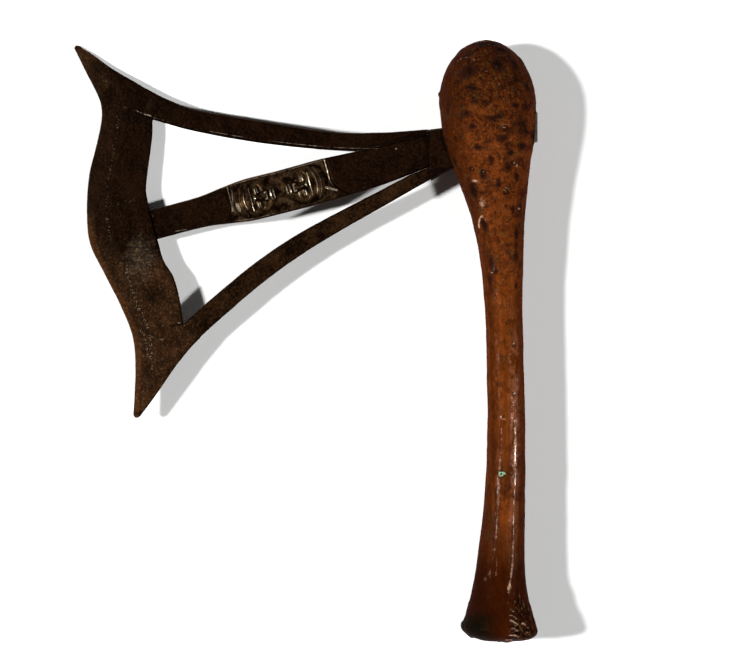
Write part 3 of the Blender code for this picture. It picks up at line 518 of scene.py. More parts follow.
# Zones of the copper. Columns: axis, places on it in metres of the frame where the zone begins and is
# full, and the noises that fray its border, in metres
COPPER_ZONES = {
    "head": ("Y", 0.03, 0.1, {"cloud": 0.05}),
    "crown": ("Y", 0.13, 0.18, {"mottle": 0.02}),
    "shoulder": ("Y", 0.105, 0.145, {"cloud": 0.04}),
    "upper": ("Y", -0.025, 0.06, {"mottle": 0.03}),
    "lower": ("Y", -0.03, -0.12, {"cloud": 0.04}),
    "butt": ("Y", -0.118, -0.158, {"cloud": 0.03}),
    "rim": ("Y", -0.176, -0.187, {"mottle": 0.012}),
    "left": ("X", 0.133, 0.116, {"mottle": 0.01}),
}
# Share of thin brown rust on each iron piece
BROWN = {"plate": 0.1, "upper": 0.08, "lower": 0.95, "central": 0.15}
FAINT_RINGS = (0.06, 0.1)  # Ys over which the upper rings grow fainter
COPPER_RELIEF = (0.4, 0.6)  # share of the fine bumps on the grip, and what the head adds

# Stage
FLOOR_HALF = 20.0  # half width of the floor, in metres
SENSOR = 36.0  # width of the camera's sensor
VIEW_PLANE = 20.0  # height at which the view's width is measured
VIEW_MIDDLE = (-86.0, 205.0)  # place of the drawing that the camera looks at
WALL = 0.55  # brightness of the pale walls
WALL_TOP = 0.16  # sine of the height of the pale walls' top
WALL_SOLID = 0.4  # share of the walls' height up to which they are full
OVERHEAD = 0.02  # brightness overhead
RING_FOOT = (0.36, 0.52)  # sines of the heights between which the ring of light begins and ends
RING_TOP = (0.9, 0.78)
# Lights: azimuth from +X towards +Y, elevation and apparent width, in degrees
LIGHTS = {
    "main_light": (180.0, 45.0, 6.0),
    "cross_light": (338.0, 53.0, 6.0),
    "low_light": (4.0, 16.0, 8.0),
}


# ---- curves


def read_rows(rows, at):
    """Reads a table's columns at a value of its first one, on a smooth curve through its rows."""
    direction = 1.0 if rows[-1][0] > rows[0][0] else -1.0
    last = len(rows) - 2
    k = 0
    while k < last and (at - rows[k + 1][0]) * direction > 0.0:
        k += 1
    before, start, end, after = (rows[max(0, min(len(rows) - 1, k + j))] for j in (-1, 0, 1, 2))
    span = end[0] - start[0]
    t = (at - start[0]) / span
    values = []
    for column in range(1, len(rows[0])):
        leaving = slope(before, end, column) * span
        arriving = slope(start, after, column) * span
        values.append((2 * t**3 - 3 * t**2 + 1) * start[column] + (t**3 - 2 * t**2 + t) * leaving
                      + (3 * t**2 - 2 * t**3) * end[column] + (t**3 - t**2) * arriving)
    return values


def slope(before, after, column):
    """Slope of a column at a row, from the rows on both sides of it."""
    return (after[column] - before[column]) / (after[0] - before[0])


def sample(points, count):
    """Evenly spaced points on a smooth curve through the given ones."""
    run = 0.0
    rows = [(run, *points[0])]
    for start, end in zip(points, points[1:]):
        run += math.dist(start, end)
        rows.append((run, *end))
    return [Vector(read_rows(rows, run * k / (count - 1))) for k in range(count)]


def grow(left, right, amount):
    """Moves two edge curves apart, and their ends outwards, by an amount."""
    wide_left, wide_right = [], []
    for start, end in zip(left, right):
        across = (start - end).normalized() * amount
        wide_left.append(start + across)
        wide_right.append(end - across)
    for curve in (wide_left, wide_right):
        curve[0] = curve[0] + (curve[0] - curve[1]).normalized() * amount
        curve[-1] = curve[-1] + (curve[-1] - curve[-2]).normalized() * amount
    return wide_left, wide_right


def smooth(value, start, end):
    """A smooth step from 0 at start to 1 at end, for a number or an array."""
    share = np.clip((value - start) / (end - start), 0.0, 1.0)
    return share * share * (3.0 - 2.0 * share)


def ridge(distance, half):
    """A rounded ridge: 1 on its line, 0 from half its width outwards."""
    return np.maximum(0.0, 1.0 - (distance / half) ** 2)


def bell(value, middle, spread):
    """A bell curve: 1 at its middle, about a third at its spread."""
    return np.exp(-((value - middle) / spread) ** 2)


# ---- meshes


def drawing_origin():
    """Place of the drawing's origin in the frame, from the horn's tip and the butt's end."""
    return Vector((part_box("cutting_blade")[0].x - CUTTING_EDGE[0][1] * MM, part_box("haft")[0].y, 0.0))


def new_mesh(name, points, faces):
    """Makes a mesh of points in millimetres of the drawing, with its faces pointing out."""
    mesh = bmesh.new()
    origin = drawing_origin()
    verts = [mesh.verts.new(Vector(point) * MM + origin) for point in points]
    for face in faces:
        mesh.faces.new([verts[k] for k in face])
    bmesh.ops.recalc_face_normals(mesh, faces=mesh.faces)
    data = bpy.data.meshes.new(name)
    mesh.to_mesh(data)
    mesh.free()
    return data


def new_object(name, data):
    """Links an object, in place of one of the same name from an earlier run."""
    earlier = bpy.data.objects.get(name)
    if earlier is not None and "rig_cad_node" not in earlier:
        bpy.data.objects.remove(earlier)
    item = bpy.data.objects.new(name, data)
    bpy.context.scene.collection.objects.link(item)
    return item


def tube_faces(rings, sides):
    """Quads between closed rings of points, the rings one after another."""
    faces = []
    for ring in range(rings - 1):
        first = ring * sides
        for k in range(sides):
            after = (k + 1) % sides
            faces.append((first + k, first + after, first + sides + after, first + sides + k))
    return faces


def lift(point, height):
    """Puts a point of the flat drawing on the blade's sloping middle plane."""
    return Vector((point.x, point.y, max(plane_height(point.x, point.y) + height, 0.0)))


def blade_slopes():
    """Slopes of the blade's middle plane along X and Y."""
    away = HORN_TIP - BLADE_ROOT.xy
    return (HORN_TIP_HALF - BLADE_ROOT.z - LEAN * away.y) / away.x, LEAN


def plane_height(x, y):
    """Height of the blade's middle plane over the floor."""
    along_x, along_y = blade_slopes()
    return BLADE_ROOT.z + along_x * (x - BLADE_ROOT.x) + along_y * (y - BLADE_ROOT.y)


def ribbon(name, left, right, rows, shape, low_rows=None):
    """Closed mesh between two edge curves of the blade, given station by station.

    rows(width) lists distances from the left edge, and shape(station, distance, width) gives the
    lower and the upper height there. low_rows does for the underside what rows does above.
    """
    points = []
    for station, (start, end) in enumerate(zip(left, right)):
        width = (end - start).length
        above = [(d, shape(station, d, width)[1]) for d in rows(width)]
        below = [(d, shape(station, d, width)[0]) for d in (low_rows or rows)(width)]
        ring = above + below[::-1]
        points += [lift(start.lerp(end, d / width), height) for d, height in ring]
    sides = len(ring)
    faces = tube_faces(len(left), sides)
    above_count = len(above)
    for first in (0, (len(left) - 1) * sides):
        faces += cap_faces(first, above_count, len(below))
    return new_mesh(name, points, faces)


def cap_faces(first, above, below):
    """Faces that close a ribbon's end: quads while both sides have points, then a fan."""
    top = [first + k for k in range(above)]
    low = [first + above + below - 1 - k for k in range(below)]
    faces = []
    for k in range(max(above, below) - 1):
        corners = [top[min(k, above - 1)], top[min(k + 1, above - 1)],
                   low[min(k + 1, below - 1)], low[min(k, below - 1)]]
        faces.append(tuple(dict.fromkeys(corners)))
    return faces


def rounded(distance, width, half, round_width):
    """Half thickness of a bar with rounded long edges."""
    inset = min(distance, width - distance)
    if inset >= round_width:
        return half
    share = 1.0 - max(0.0, inset) / round_width
    return half * (SIDE_SHARE + (1.0 - SIDE_SHARE) * (1.0 - share**EDGE_POWER))


def rows_between(round_width, count, width):
    """Distances across a bar: close together where its edges are rounded, and even between."""
    inset = min(round_width, width * ROUND_SHARE)
    turn = [inset * (1.0 - math.cos(math.pi / 2 * k / ROUND_ROWS)) for k in range(ROUND_ROWS)]
    even = [inset + (width - 2 * inset) * k / count for k in range(count + 1)]
    return [*turn, *even, *(width - d for d in reversed(turn))]


def plain_rows(width):
    """Only the two edges."""
    return 0.0, width


# ---- haft


def haft_section(y):
    """Middle, half width, axis height and half depth of the haft at a Y of its body."""
    at = min(max(y, RIM[0]), WIDEST[0])
    left, right, depth = read_rows(HAFT_PROFILE, at)
    axis = RIM[3] + (WIDEST[3] - RIM[3]) * min(max(y / WIDEST[0], 0.0), 1.0) - REST_SINK
    return (left + right) / 2, (right - left) / 2, axis, depth


def haft_ring(y, scale, lean=0.0):
    """One ring of points of the haft's smooth shape."""
    middle, half, axis, depth = haft_section(y)
    tilt = BUTT_TILT * max(0.0, 1.0 - y / BUTT_TILT_FADE) * max(0.0, scale - BUTT_FLAT) / (1.0 - BUTT_FLAT)
    points = []
    for k in range(HAFT_SIDES):
        turn = math.tau * k / HAFT_SIDES
        turn -= SIDES_ON_TOP * math.sin(turn)
        points.append((middle + lean + half * scale * math.sin(turn), y + tilt * -math.sin(turn),
                       axis + depth * scale * math.cos(turn)))
    return points


def butt_height(share):
    """Height of the domed butt at a share of its radius; its middle is flat."""
    dome = 1.0 - (1.0 - share**BUTT_DOME_POWER) ** (1.0 / BUTT_DOME_POWER)
    flat = 1.0 - (1.0 - BUTT_FLAT**BUTT_DOME_POWER) ** (1.0 / BUTT_DOME_POWER)
    return RIM[0] * max(0.0, (dome - flat) / (1.0 - flat))


def haft_shape():
    """Rings of the smooth haft from the middle of its butt to its crown."""
    points = []
    for k in range(1, BUTT_CENTRE_RINGS):
        points += haft_ring(0.0, BUTT_FLAT * k / BUTT_CENTRE_RINGS)
    for k in range(BUTT_RINGS):
        share = BUTT_FLAT + (1.0 - BUTT_FLAT) * math.sin(math.pi / 2 * k / BUTT_RINGS)
        points += haft_ring(butt_height(share), share)
    start, end = RIM[0], WIDEST[0]
    for k in range(HAFT_RINGS):
        points += haft_ring(start + (end - start) * (k / (HAFT_RINGS - 1)) ** RING_SPREAD, 1.0)
    for k in range(1, CROWN_RINGS):
        turn = math.pi / 2 * k / CROWN_RINGS
        points += haft_ring(end + (HAFT_LENGTH - end) * math.sin(turn), math.cos(turn),
                            CROWN_LEAN * math.sin(turn))
    rings = len(points) // HAFT_SIDES
    faces = tube_faces(rings, HAFT_SIDES)
    for first, y in ((0, 0.0), ((rings - 1) * HAFT_SIDES, HAFT_LENGTH)):
        middle, _, axis, _ = haft_section(y)
        lean = CROWN_LEAN if y else 0.0
        points.append((middle + lean, y, axis))
        faces += [(len(points) - 1, first + k, first + (k + 1) % HAFT_SIDES) for k in range(HAFT_SIDES)]
    return points, faces


class HaftPlaces:
    """Places of points on the haft: Y along it, turn from its top in degrees, and radius there."""

    def __init__(self, points):
        self.y = points[:, 1]
        table = np.array([haft_section(y) for y in np.arange(0.0, HAFT_LENGTH + 1.0)])
        grid = np.arange(0.0, len(table))
        middle, half, axis, depth = (np.interp(self.y, grid, table[:, k]) for k in range(4))
        across, up = points[:, 0] - middle, points[:, 2] - axis
        self.turn = np.degrees(np.arctan2(across / half, up / depth))
        self.radius = np.hypot(across, up)

    def offsets(self, y, turn):
        """Distances from a place, along the haft and round it."""
        round_it = (self.turn - turn + 180.0) % 360.0 - 180.0
        return self.y - y, np.radians(round_it) * self.radius

    def spot(self, y, turn, half_length, half_width):
        """Squared distance from a place, as a share of its half sizes."""
        along, across = self.offsets(y, turn)
        return (along / half_length) ** 2 + (across / half_width) ** 2

    def crescent(self, y, turn, radius, width):
        """Distance outwards from a crescent, a fade towards its ends, and its right part."""
        along, across = self.offsets(y, turn)
        reach = math.radians(width) * self.radius / 2 + 0.1
        along = along + across * RIPPLE_SLANT
        arc = np.hypot(along + radius, across * RIPPLE_FLAT) - radius
        return arc, smooth(np.abs(across), reach, reach * 0.3), smooth(across, -reach * 0.8, reach * 0.5)

    def line(self, turns):
        """Distance from a line of (Y, turn) places, the signed side of it, and how far inside its ends."""
        nearest = np.full(len(self.y), 1e9)
        side = np.zeros(len(self.y))
        inside = np.zeros(len(self.y))
        total = 0.0
        for (y0, turn0), (y1, turn1) in zip(turns, turns[1:]):
            along0, across0 = self.offsets(y0, turn0)
            span_turn = (turn1 - turn0 + 180.0) % 360.0 - 180.0
            run_y, run_across = y1 - y0, math.radians(span_turn) * self.radius
            length = np.maximum(np.hypot(run_y, run_across), 1e-6)
            share = np.clip((along0 * run_y + across0 * run_across) / length**2, 0.0, 1.0)
            off_y, off_across = along0 - share * run_y, across0 - share * run_across
            distance = np.hypot(off_y, off_across)
            closer = distance < nearest
            nearest = np.where(closer, distance, nearest)
            # left of the line's direction, seen from outside with Y up and turns to the right
            sign = np.sign(run_across * off_y - run_y * off_across)
            side = np.where(closer, sign, side)
            inside = np.where(closer, total + share, inside)
            total += 1.0
        ends = np.minimum(inside, total - inside)
        return nearest, side, ends


def copper_relief(points, hammer):
    """Height of the sheet's folds, dents and ripples over the smooth haft, in millimetres."""
    at = HaftPlaces(points)
    height = np.zeros(len(points))
    for y, turn, half_length, half_width, depth, rim in DIMPLES:
        distance = np.sqrt(at.spot(y, turn, half_length, half_width))
        height += rim * bell(distance, *DENT_RIM) - depth * np.exp(-(distance / DENT_HOLLOW) ** DENT_POWER)
    for y, turn, half_length, half_width, rise in SILHOUETTE_BUMPS:
        height += rise * np.exp(-at.spot(y, turn, half_length, half_width))
    for rise, run, edge, turns in FOLDS:
        distance, side, ends = at.line(turns)
        raised = np.exp(-distance / run) * (side >= 0.0)
        fallen = bell(distance, 0.0, edge * CLOSED_FOLD) * (side < 0.0)
        height += rise * smooth(ends, *LINE_ENDS) * np.maximum(raised, fallen)
    for ripple in RIPPLES:
        arc, fade, right = at.crescent(*ripple)
        height += RIPPLE_RISE * ridge(arc, RIPPLE_HALF) * fade * (0.5 + 0.7 * right)
    for y0, turn0, y1, turn1 in GATHERS:
        distance, _, ends = at.line(((y0, turn0), (y1, turn1)))
        height += GATHER_RISE * ridge(distance, GATHER_HALF) * smooth(ends, *GATHER_ENDS)
    return height * hammer + slot_lips(points)


def slot_distance(points):
    """Distance of points from the slot that the block and the tang take through the haft."""
    _, across, along = strap_places(points)
    over = points[:, 2] - plane_height(points[:, 0], points[:, 1])
    entering = along < (BLOCK_UPPER[1][0] + TANG_UPPER[1][0]) / 2
    upper = np.where(entering, BLOCK_UPPER[1][1], TANG_UPPER[1][1])
    lower = np.where(entering, BLOCK_LOWER[1][1], TANG_LOWER[1][1])
    thick = np.where(entering, BLOCK_HALF, TANG_HALF)
    beside = np.maximum(np.abs(across - (upper + lower) / 2) - (upper - lower) / 2, 0.0)
    above = np.maximum(np.abs(over) - thick, 0.0)
    return np.hypot(beside, above)


def slot_lips(points):
    """Height of the copper's lips round the slot, where the sheet was beaten up against the iron."""
    return LIP_RISE * np.exp(-slot_distance(points) / LIP_RUN)


def make_haft_mesh(hammer):
    """The copper-sheathed club with its folds, dents and ripples, and no slot yet."""
    points, faces = haft_shape()
    smooth_mesh = new_mesh("haft_smooth", points, faces)
    normals = np.zeros(len(points) * 3)
    smooth_mesh.vertex_normals.foreach_get("vector", normals)
    bpy.data.meshes.remove(smooth_mesh)
    points = np.array(points)
    places = points + normals.reshape(-1, 3) * copper_relief(points, hammer)[:, None]
    places[:, 2] = np.maximum(places[:, 2], 0.0)
    return new_mesh("haft", places, faces)


# ---- cutting blade


def plate_narrowing(width):
    """How much the bevel and the thickness shrink where the plate runs out into a horn."""
    return min(1.0, width / FULL_WIDTH)


def plate_rows(width):
    """Distances across the plate, from its cutting edge to its inner side."""
    inset = min(PLATE_ROUND, width * ROUND_SHARE)
    flat = [(width - inset) * k / PLATE_ROWS for k in range(PLATE_ROWS)]
    turn = [width - inset + inset * math.sin(math.pi / 2 * k / ROUND_ROWS) for k in range(ROUND_ROWS + 1)]
    return [*flat, *turn]


def plate_shape(station, distance, width):
    """The plate thins to a blunt edge on one side and is rounded on the other."""
    narrow = plate_narrowing(width)
    thick = HORN_TIP_HALF + (PLATE_HALF - HORN_TIP_HALF) * narrow
    bevel = min(1.0, distance / (EDGE_BEVEL * narrow)) ** BEVEL_POWER
    half = EDGE_HALF + (thick - EDGE_HALF) * bevel
    inset = PLATE_ROUND * narrow
    share = 1.0 - min(1.0, (width - distance) / inset)
    half *= INNER_SHARE + (1.0 - INNER_SHARE) * (1.0 - share**EDGE_POWER)
    return -half, half


def plate_outline():
    """The cutting edge and the inner outline, station by station from the upper horn down."""
    outer = [Vector(HORN_TIP_ENDS[0])]
    inner = [Vector(HORN_TIP_ENDS[1])]
    start = CUTTING_EDGE[0][0]
    for end, count, points in PLATE_SPANS:
        first = 1 if outer[1:] else 0
        for k, point in list(enumerate(sample(points, count)))[first:]:
            y = start + (end - start) * k / (count - 1)
            outer.append(Vector((read_rows(CUTTING_EDGE, y)[0], y)))
            inner.append(point)
        start = end
    outer.append(Vector(LOWER_TIP_ENDS[0]))
    inner.append(Vector(LOWER_TIP_ENDS[1]))
    return outer, inner


# ---- upper and lower strut


def strut_edges(tongue_left, tongue_right, left, right):
    """Edge curves of a strut with its tongue."""
    edges = []
    for tongue, bar in ((tongue_left, left), (tongue_right, right)):
        thin = sample(tongue, TONGUE_STATIONS)
        full = sample(bar, STRUT_STATIONS)
        thin[-1] = full[0] + (full[0] - full[1]).normalized() * STEP_RUN
        edges.append(thin + full)
    return edges


def strut_shape_of(tongue_length, ledge):
    """Shape of a side strut: a ledge over the plate, then a tongue welded into it, out of sight."""
    def shape(station, distance, width):
        half = rounded(distance, width, STRUT_HALF, STRUT_ROUND)
        if station >= TONGUE_STATIONS:
            return -half, half
        from_root = tongue_length * (1.0 - station / (TONGUE_STATIONS - 1))
        sunk = PLATE_HALF * plate_narrowing(width + LAP_NARROW) - WELD_SINK
        top = sunk + (half - sunk) * (1.0 - float(smooth(from_root, 0.0, ledge)))
        return LAP_HALF, max(top, LAP_HALF + TONGUE_LEAST)
    return shape


def make_strut_mesh(name, curves, ledge):
    """The mesh of a side strut with its tongue."""
    left, right = strut_edges(*curves)
    tongue = curves[1]
    tongue_length = sum(math.dist(start, end) for start, end in zip(tongue, tongue[1:]))
    rows = partial(rows_between, STRUT_ROUND, STRUT_ROWS)
    return ribbon(name, left, right, rows, strut_shape_of(tongue_length, ledge))


def lower_slit():
    """Cutter for the slit under the plate's lower inner corner, where the weld is open."""
    left, right = ([Vector(point) for point in side] for side in LOWER_SLIT)
    return ribbon("weld_slit", left, right, plain_rows,
                  lambda station, distance, width: (PLATE_HALF - SLIT_DEPTH, PLATE_HALF * 2))


# ---- central strut


def on_strap(along, across):
    """A point of the drawing, from distances along and across the strap's axis."""
    axis = Vector((math.cos(STRAP_ANGLE), math.sin(STRAP_ANGLE)))
    return STRAP_START + axis * along + Vector((-axis.y, axis.x)) * across


def strap_places(points):
    """Where points lie in the strap's own terms: height over the blade's plane, across, along."""
    off_x, off_y = points[:, 0] - STRAP_START.x, points[:, 1] - STRAP_START.y
    axis_x, axis_y = math.cos(STRAP_ANGLE), math.sin(STRAP_ANGLE)
    over = points[:, 2] - plane_height(points[:, 0], points[:, 1])
    return over, off_y * axis_x - off_x * axis_y, off_x * axis_x + off_y * axis_y


def strap_stations():
    """Stations of the central strut: along upper, across upper, along lower, across lower, kind."""
    start, end = STRAP_PROFILE[0], STRAP_PROFILE[-1]
    stations = []
    for k in range(TONGUE_ROWS):
        share = 1.0 - k / (TONGUE_ROWS - 1)
        along = start[0] - STEP_RUN - (STRAP_TONGUE + start[0] - STEP_RUN) * share
        narrow = 1.0 - (1.0 - TONGUE_NARROW) * share**2
        stations.append((along, start[1] * narrow, along, start[2] * narrow, "tongue"))
    first = RELIEF_MIDDLE - HEAD_LENGTH - BORDER_ROOM
    last = RELIEF_MIDDLE + HEAD_LENGTH + BORDER_ROOM
    for begin, finish, count in ((start[0], first, PLAIN_STATIONS), (first, last, RELIEF_STATIONS),
                                 (last, end[0], PLAIN_STATIONS)):
        for along in (begin + (finish - begin) * k / count for k in range(count)):
            upper, lower = read_rows(STRAP_PROFILE, along)
            stations.append((along, upper, along, lower, "strap"))
    slant = (BLOCK_UPPER[0][0] - BLOCK_LOWER[0][0]) / (BLOCK_UPPER[0][1] - BLOCK_LOWER[0][1])
    face = BLOCK_UPPER[0][0] - slant * BLOCK_UPPER[0][1]
    stations.append((face + slant * end[1] - STEP_RUN, end[1], face + slant * end[2] - STEP_RUN, end[2],
                     "strap"))
    for kind, count, *edges in (("block", BLOCK_STATIONS, BLOCK_UPPER, BLOCK_LOWER),
                                ("tang", TANG_STATIONS, TANG_UPPER, TANG_LOWER)):
        for k in range(count):
            upper, lower = (Vector(near).lerp(Vector(far), k / (count - 1)) for near, far in edges)
            stations.append((*upper, *lower, kind))
    return stations


def boss(along, across, feature):
    """Height of a round boss or hollow at a place measured from its middle."""
    length, width, rise = feature
    return rise * np.maximum(0.0, 1.0 - (along / length) ** 2 - (across / width) ** 2)


def relief(along, across):
    """Height of the carving over the strap: two schematic heads between two borders."""
    up = abs(along - RELIEF_MIDDLE)  # distance from the groove between the chins
    side = abs(across - RELIEF_AXIS)
    bow = BORDER_BOW * max(0.0, -BORDER_STRAIGHT - across) ** 2
    border, groove = (rise * ridge(up - HEAD_LENGTH - past - bow, half)
                      for past, half, rise in (BORDER, BORDER_GROOVE))
    share = up / HEAD_LENGTH
    half = HEAD_HALF * (CHIN_WIDTH + (1.0 - CHIN_WIDTH) * smooth(share, 0.0, EYE_LINE))
    around = ((side / half) ** SKULL_ROUND[0]
              + (abs(share - HEAD_MIDDLE) / (1.0 - HEAD_MIDDLE)) ** SKULL_ROUND[1])
    if around >= 1.0:
        return border + groove
    skull = HEAD_RISE * (1.0 - around) ** SKULL_POWER
    over_brow = (share - BROW_LINE) * HEAD_LENGTH
    forehead = FOREHEAD[1] * smooth(over_brow, 0.0, FOREHEAD[0])
    eye_up, eye_side = (share - EYE_LINE) * HEAD_LENGTH, side - EYE_SPACING
    mouth_up = (share - MOUTH_LINE) * HEAD_LENGTH
    down = (BROW_LINE - share) / (BROW_LINE - NOSE_BASE)
    nose = 0.0
    if 0.0 < down < NOSE_END:
        nose_half = NOSE_HALF[0] + (NOSE_HALF[1] - NOSE_HALF[0]) * down
        nose_rise = NOSE_RISE[0] + (NOSE_RISE[1] - NOSE_RISE[0]) * down
        nose = nose_rise * ridge(side, nose_half) * smooth(down, NOSE_END, 1.0)
        nose += nose_rise * NOSTRIL[2] * max(0.0, 1.0 - ((side - NOSTRIL[0]) / NOSTRIL[1]) ** 2
                                             - ((down - NOSTRIL_AT[0]) / NOSTRIL_AT[1]) ** 2)
    parting = PARTING[2] * ridge(mouth_up, PARTING[0]) * ridge(side, PARTING[1])
    lids = LID[1] * ridge(np.hypot(eye_up / EYE[0], eye_side / EYE[1]) - 1.0, LID[0])
    lash = LASH[1] * ridge(eye_up + LASH[2], LASH[0]) * ridge(eye_side, EYE[1])
    arch = BROW_ARCH * (side - EYE_SPACING) ** 2
    brow = BROW_RIDGE[1] * ridge(over_brow - BROW_LIFT + arch, BROW_RIDGE[0])
    band = sum(HAIR_BAND[1] * ridge(over_brow - line + HAIR_ARCH * side**2, HAIR_BAND[0])
               for line in HAIR_LINES)
    features = (forehead + nose + parting + lids + lash + brow * ridge(side, HEAD_HALF * BROW_SPAN) + band
                + boss(eye_up, eye_side, SOCKET) + boss(eye_up, eye_side, EYE) + boss(mouth_up, side, LIPS))
    return max(skull + features * math.sqrt(1.0 - around), border)


def strap_shape_of(stations):
    """Shape function of the central strut for a list of stations."""
    def shape(station, distance, width):
        along, upper, _, _, kind = stations[station]
        if kind == "tongue":
            return -rounded(distance, width, PLATE_HALF, STRAP_ROUND), -LAP_HALF
        half = rounded(distance, width, *SECTIONS[kind])
        return -half, half + (relief(along, upper - distance) if kind == "strap" else 0.0)
    return shape


def central_parts():
    """Meshes of the central strut and of the cutters that make room for it."""
    stations = strap_stations()
    left = [on_strap(upper_along, upper) for upper_along, upper, _, _, _ in stations]
    right = [on_strap(lower_along, lower) for _, _, lower_along, lower, _ in stations]
    above, below = (partial(rows_between, STRAP_ROUND, count) for count in (STRAP_ROWS, STRAP_LOW_ROWS))
    body = ribbon("central_strut", left, right, above, strap_shape_of(stations), below)
    kinds = [station[4] for station in stations]
    return body, left, right, kinds


def room_behind():
    """Cutter for the tongue's pocket in the plate's back."""
    _, upper, lower = STRAP_PROFILE[0]
    left, right = ([on_strap(along, edge) for along in (-STRAP_TONGUE - GAP, STRAP_TONGUE)]
                   for edge in (upper + GAP, lower - GAP))
    return ribbon("central_strut_pocket", left, right, plain_rows,
                  lambda station, distance, width: (-STRAP_HALF * 2, -LAP_HALF + GAP))


def room_beside(left, right, kinds):
    """Cutter that trims the other two struts along the strap and the block."""
    first, last = kinds.index("strap"), kinds.index("tang")
    wide = grow(left[first:last], right[first:last], GAP)
    shoulder = kinds.index("block") - first
    for curve in wide:
        for place in (shoulder - 1, shoulder):
            curve[place] -= Vector((math.cos(STRAP_ANGLE), math.sin(STRAP_ANGLE))) * BLOCK_GAP
    return ribbon("central_strut_sides", *wide, plain_rows,
                  lambda station, distance, width: (-BLOCK_HALF * 2, BLOCK_HALF * 2))


def room_in_haft(left, right, kinds):
    """Cutter for the slot through the haft: the block's end, the tang and its clearance."""
    first = kinds.index("block") + BLOCK_OUTSIDE
    wide_left, wide_right = grow(left[first:], right[first:], SLOT_GAP)
    block_count = BLOCK_STATIONS - BLOCK_OUTSIDE
    for curve in (wide_left, wide_right):
        along = (curve[-1] - curve[-2]).normalized()
        curve[-1] += along * SLOT_OVERRUN
        curve[block_count - 1] += along * SLOT_GAP
        curve[block_count] += along * SLOT_GAP

    def shape(station, distance, width):
        half = BLOCK_HALF if station < block_count else TANG_HALF
        return -half - SLOT_GAP, half + SLOT_GAP

    return ribbon("haft_slot", wide_left, wide_right, plain_rows, shape)


# ---- node trees


class Field:
    """A number in a node tree. Arithmetic on it adds Math nodes."""

    def __init__(self, tree, socket):
        self.tree, self.socket = tree, socket

    def out(self, name):
        """Another output of the node that this number comes from."""
        return Field(self.tree, find_socket(self.socket.node.outputs, name))

    def math(self, operation, *values):
        """A Math node of an operation on these values."""
        return self.tree.add("ShaderNodeMath", {"operation": operation}, dict(enumerate(values)))

    def __add__(self, other):
        return self.math("ADD", self, other)

    def __sub__(self, other):
        return self.math("SUBTRACT", self, other)

    def __rsub__(self, other):
        return self.math("SUBTRACT", other, self)

    def __mul__(self, other):
        return self.math("MULTIPLY", self, other)

    def __rtruediv__(self, other):
        return self.math("DIVIDE", other, self)

    def __pow__(self, other):
        return self.math("POWER", self, other)

    def __neg__(self):
        return self.math("MULTIPLY", self, -1.0)

    __radd__ = __add__
    __rmul__ = __mul__

    def most(self, other):
        """The greater of two values."""
        return self.math("MAXIMUM", self, other)


def find_socket(sockets, key):
    """A socket by its index, its identifier or its name."""
    if isinstance(key, int):
        return sockets[key]
    return next((s for s in sockets if s.identifier == key), None) or sockets[key]


class Tree:
    """A node tree and the few ways in which its nodes are added."""

    def __init__(self, tree):
        self.tree = tree
        tree.nodes.clear()

    def add(self, kind, settings=None, values=None, output=0):
        """Adds a node: its settings first, then its sockets' values or links. Returns one output."""
        node = self.tree.nodes.new(kind)
        for name, value in (settings or {}).items():
            setattr(node, name, value)
        for key, value in (values or {}).items():
            self.feed(find_socket(node.inputs, key), value)
        return Field(self, find_socket(node.outputs, output)) if len(node.outputs) else None

    def feed(self, socket, value):
        """Links a field to a socket, or sets the socket's own value."""
        if isinstance(value, list):
            for each in value:
                self.feed(socket, each)
        elif isinstance(value, Field):
            self.tree.links.new(value.socket, socket)
        else:
            socket.default_value = value

    def vector(self, operation, *values, scale=None):
        """A Vector Math node."""
        sockets = dict(enumerate(values))
        if scale is not None:
            sockets["Scale"] = scale
        return self.add("ShaderNodeVectorMath", {"operation": operation}, sockets, "Vector")

    def noise(self, place, size, detail, rough, seed):
        """Cloudy noise from 0 to 1 with features of a size in metres, in four dimensions for its seed."""
        return self.add("ShaderNodeTexNoise", {"noise_dimensions": "4D"},
                        {"Vector": place, "W": seed, "Scale": 1.0 / size, "Detail": detail,
                         "Roughness": rough}, "Fac")

    def cells(self, place, size):
        """Smoothed distance from the middles of cells of a size in metres."""
        return self.add("ShaderNodeTexVoronoi", {"feature": "SMOOTH_F1"},
                        {"Vector": place, "Scale": 1.0 / size}, "Distance")

    def mask(self, value, low, high):
        """A smooth step from 0 at low to 1 at high, or down where low is above high."""
        start, end, first, last = (low, high, 0.0, 1.0) if low < high else (high, low, 1.0, 0.0)
        return self.add("ShaderNodeMapRange", {"interpolation_type": "SMOOTHSTEP"},
                        {"Value": value, "From Min": start, "From Max": end, "To Min": first,
                         "To Max": last}, "Result")


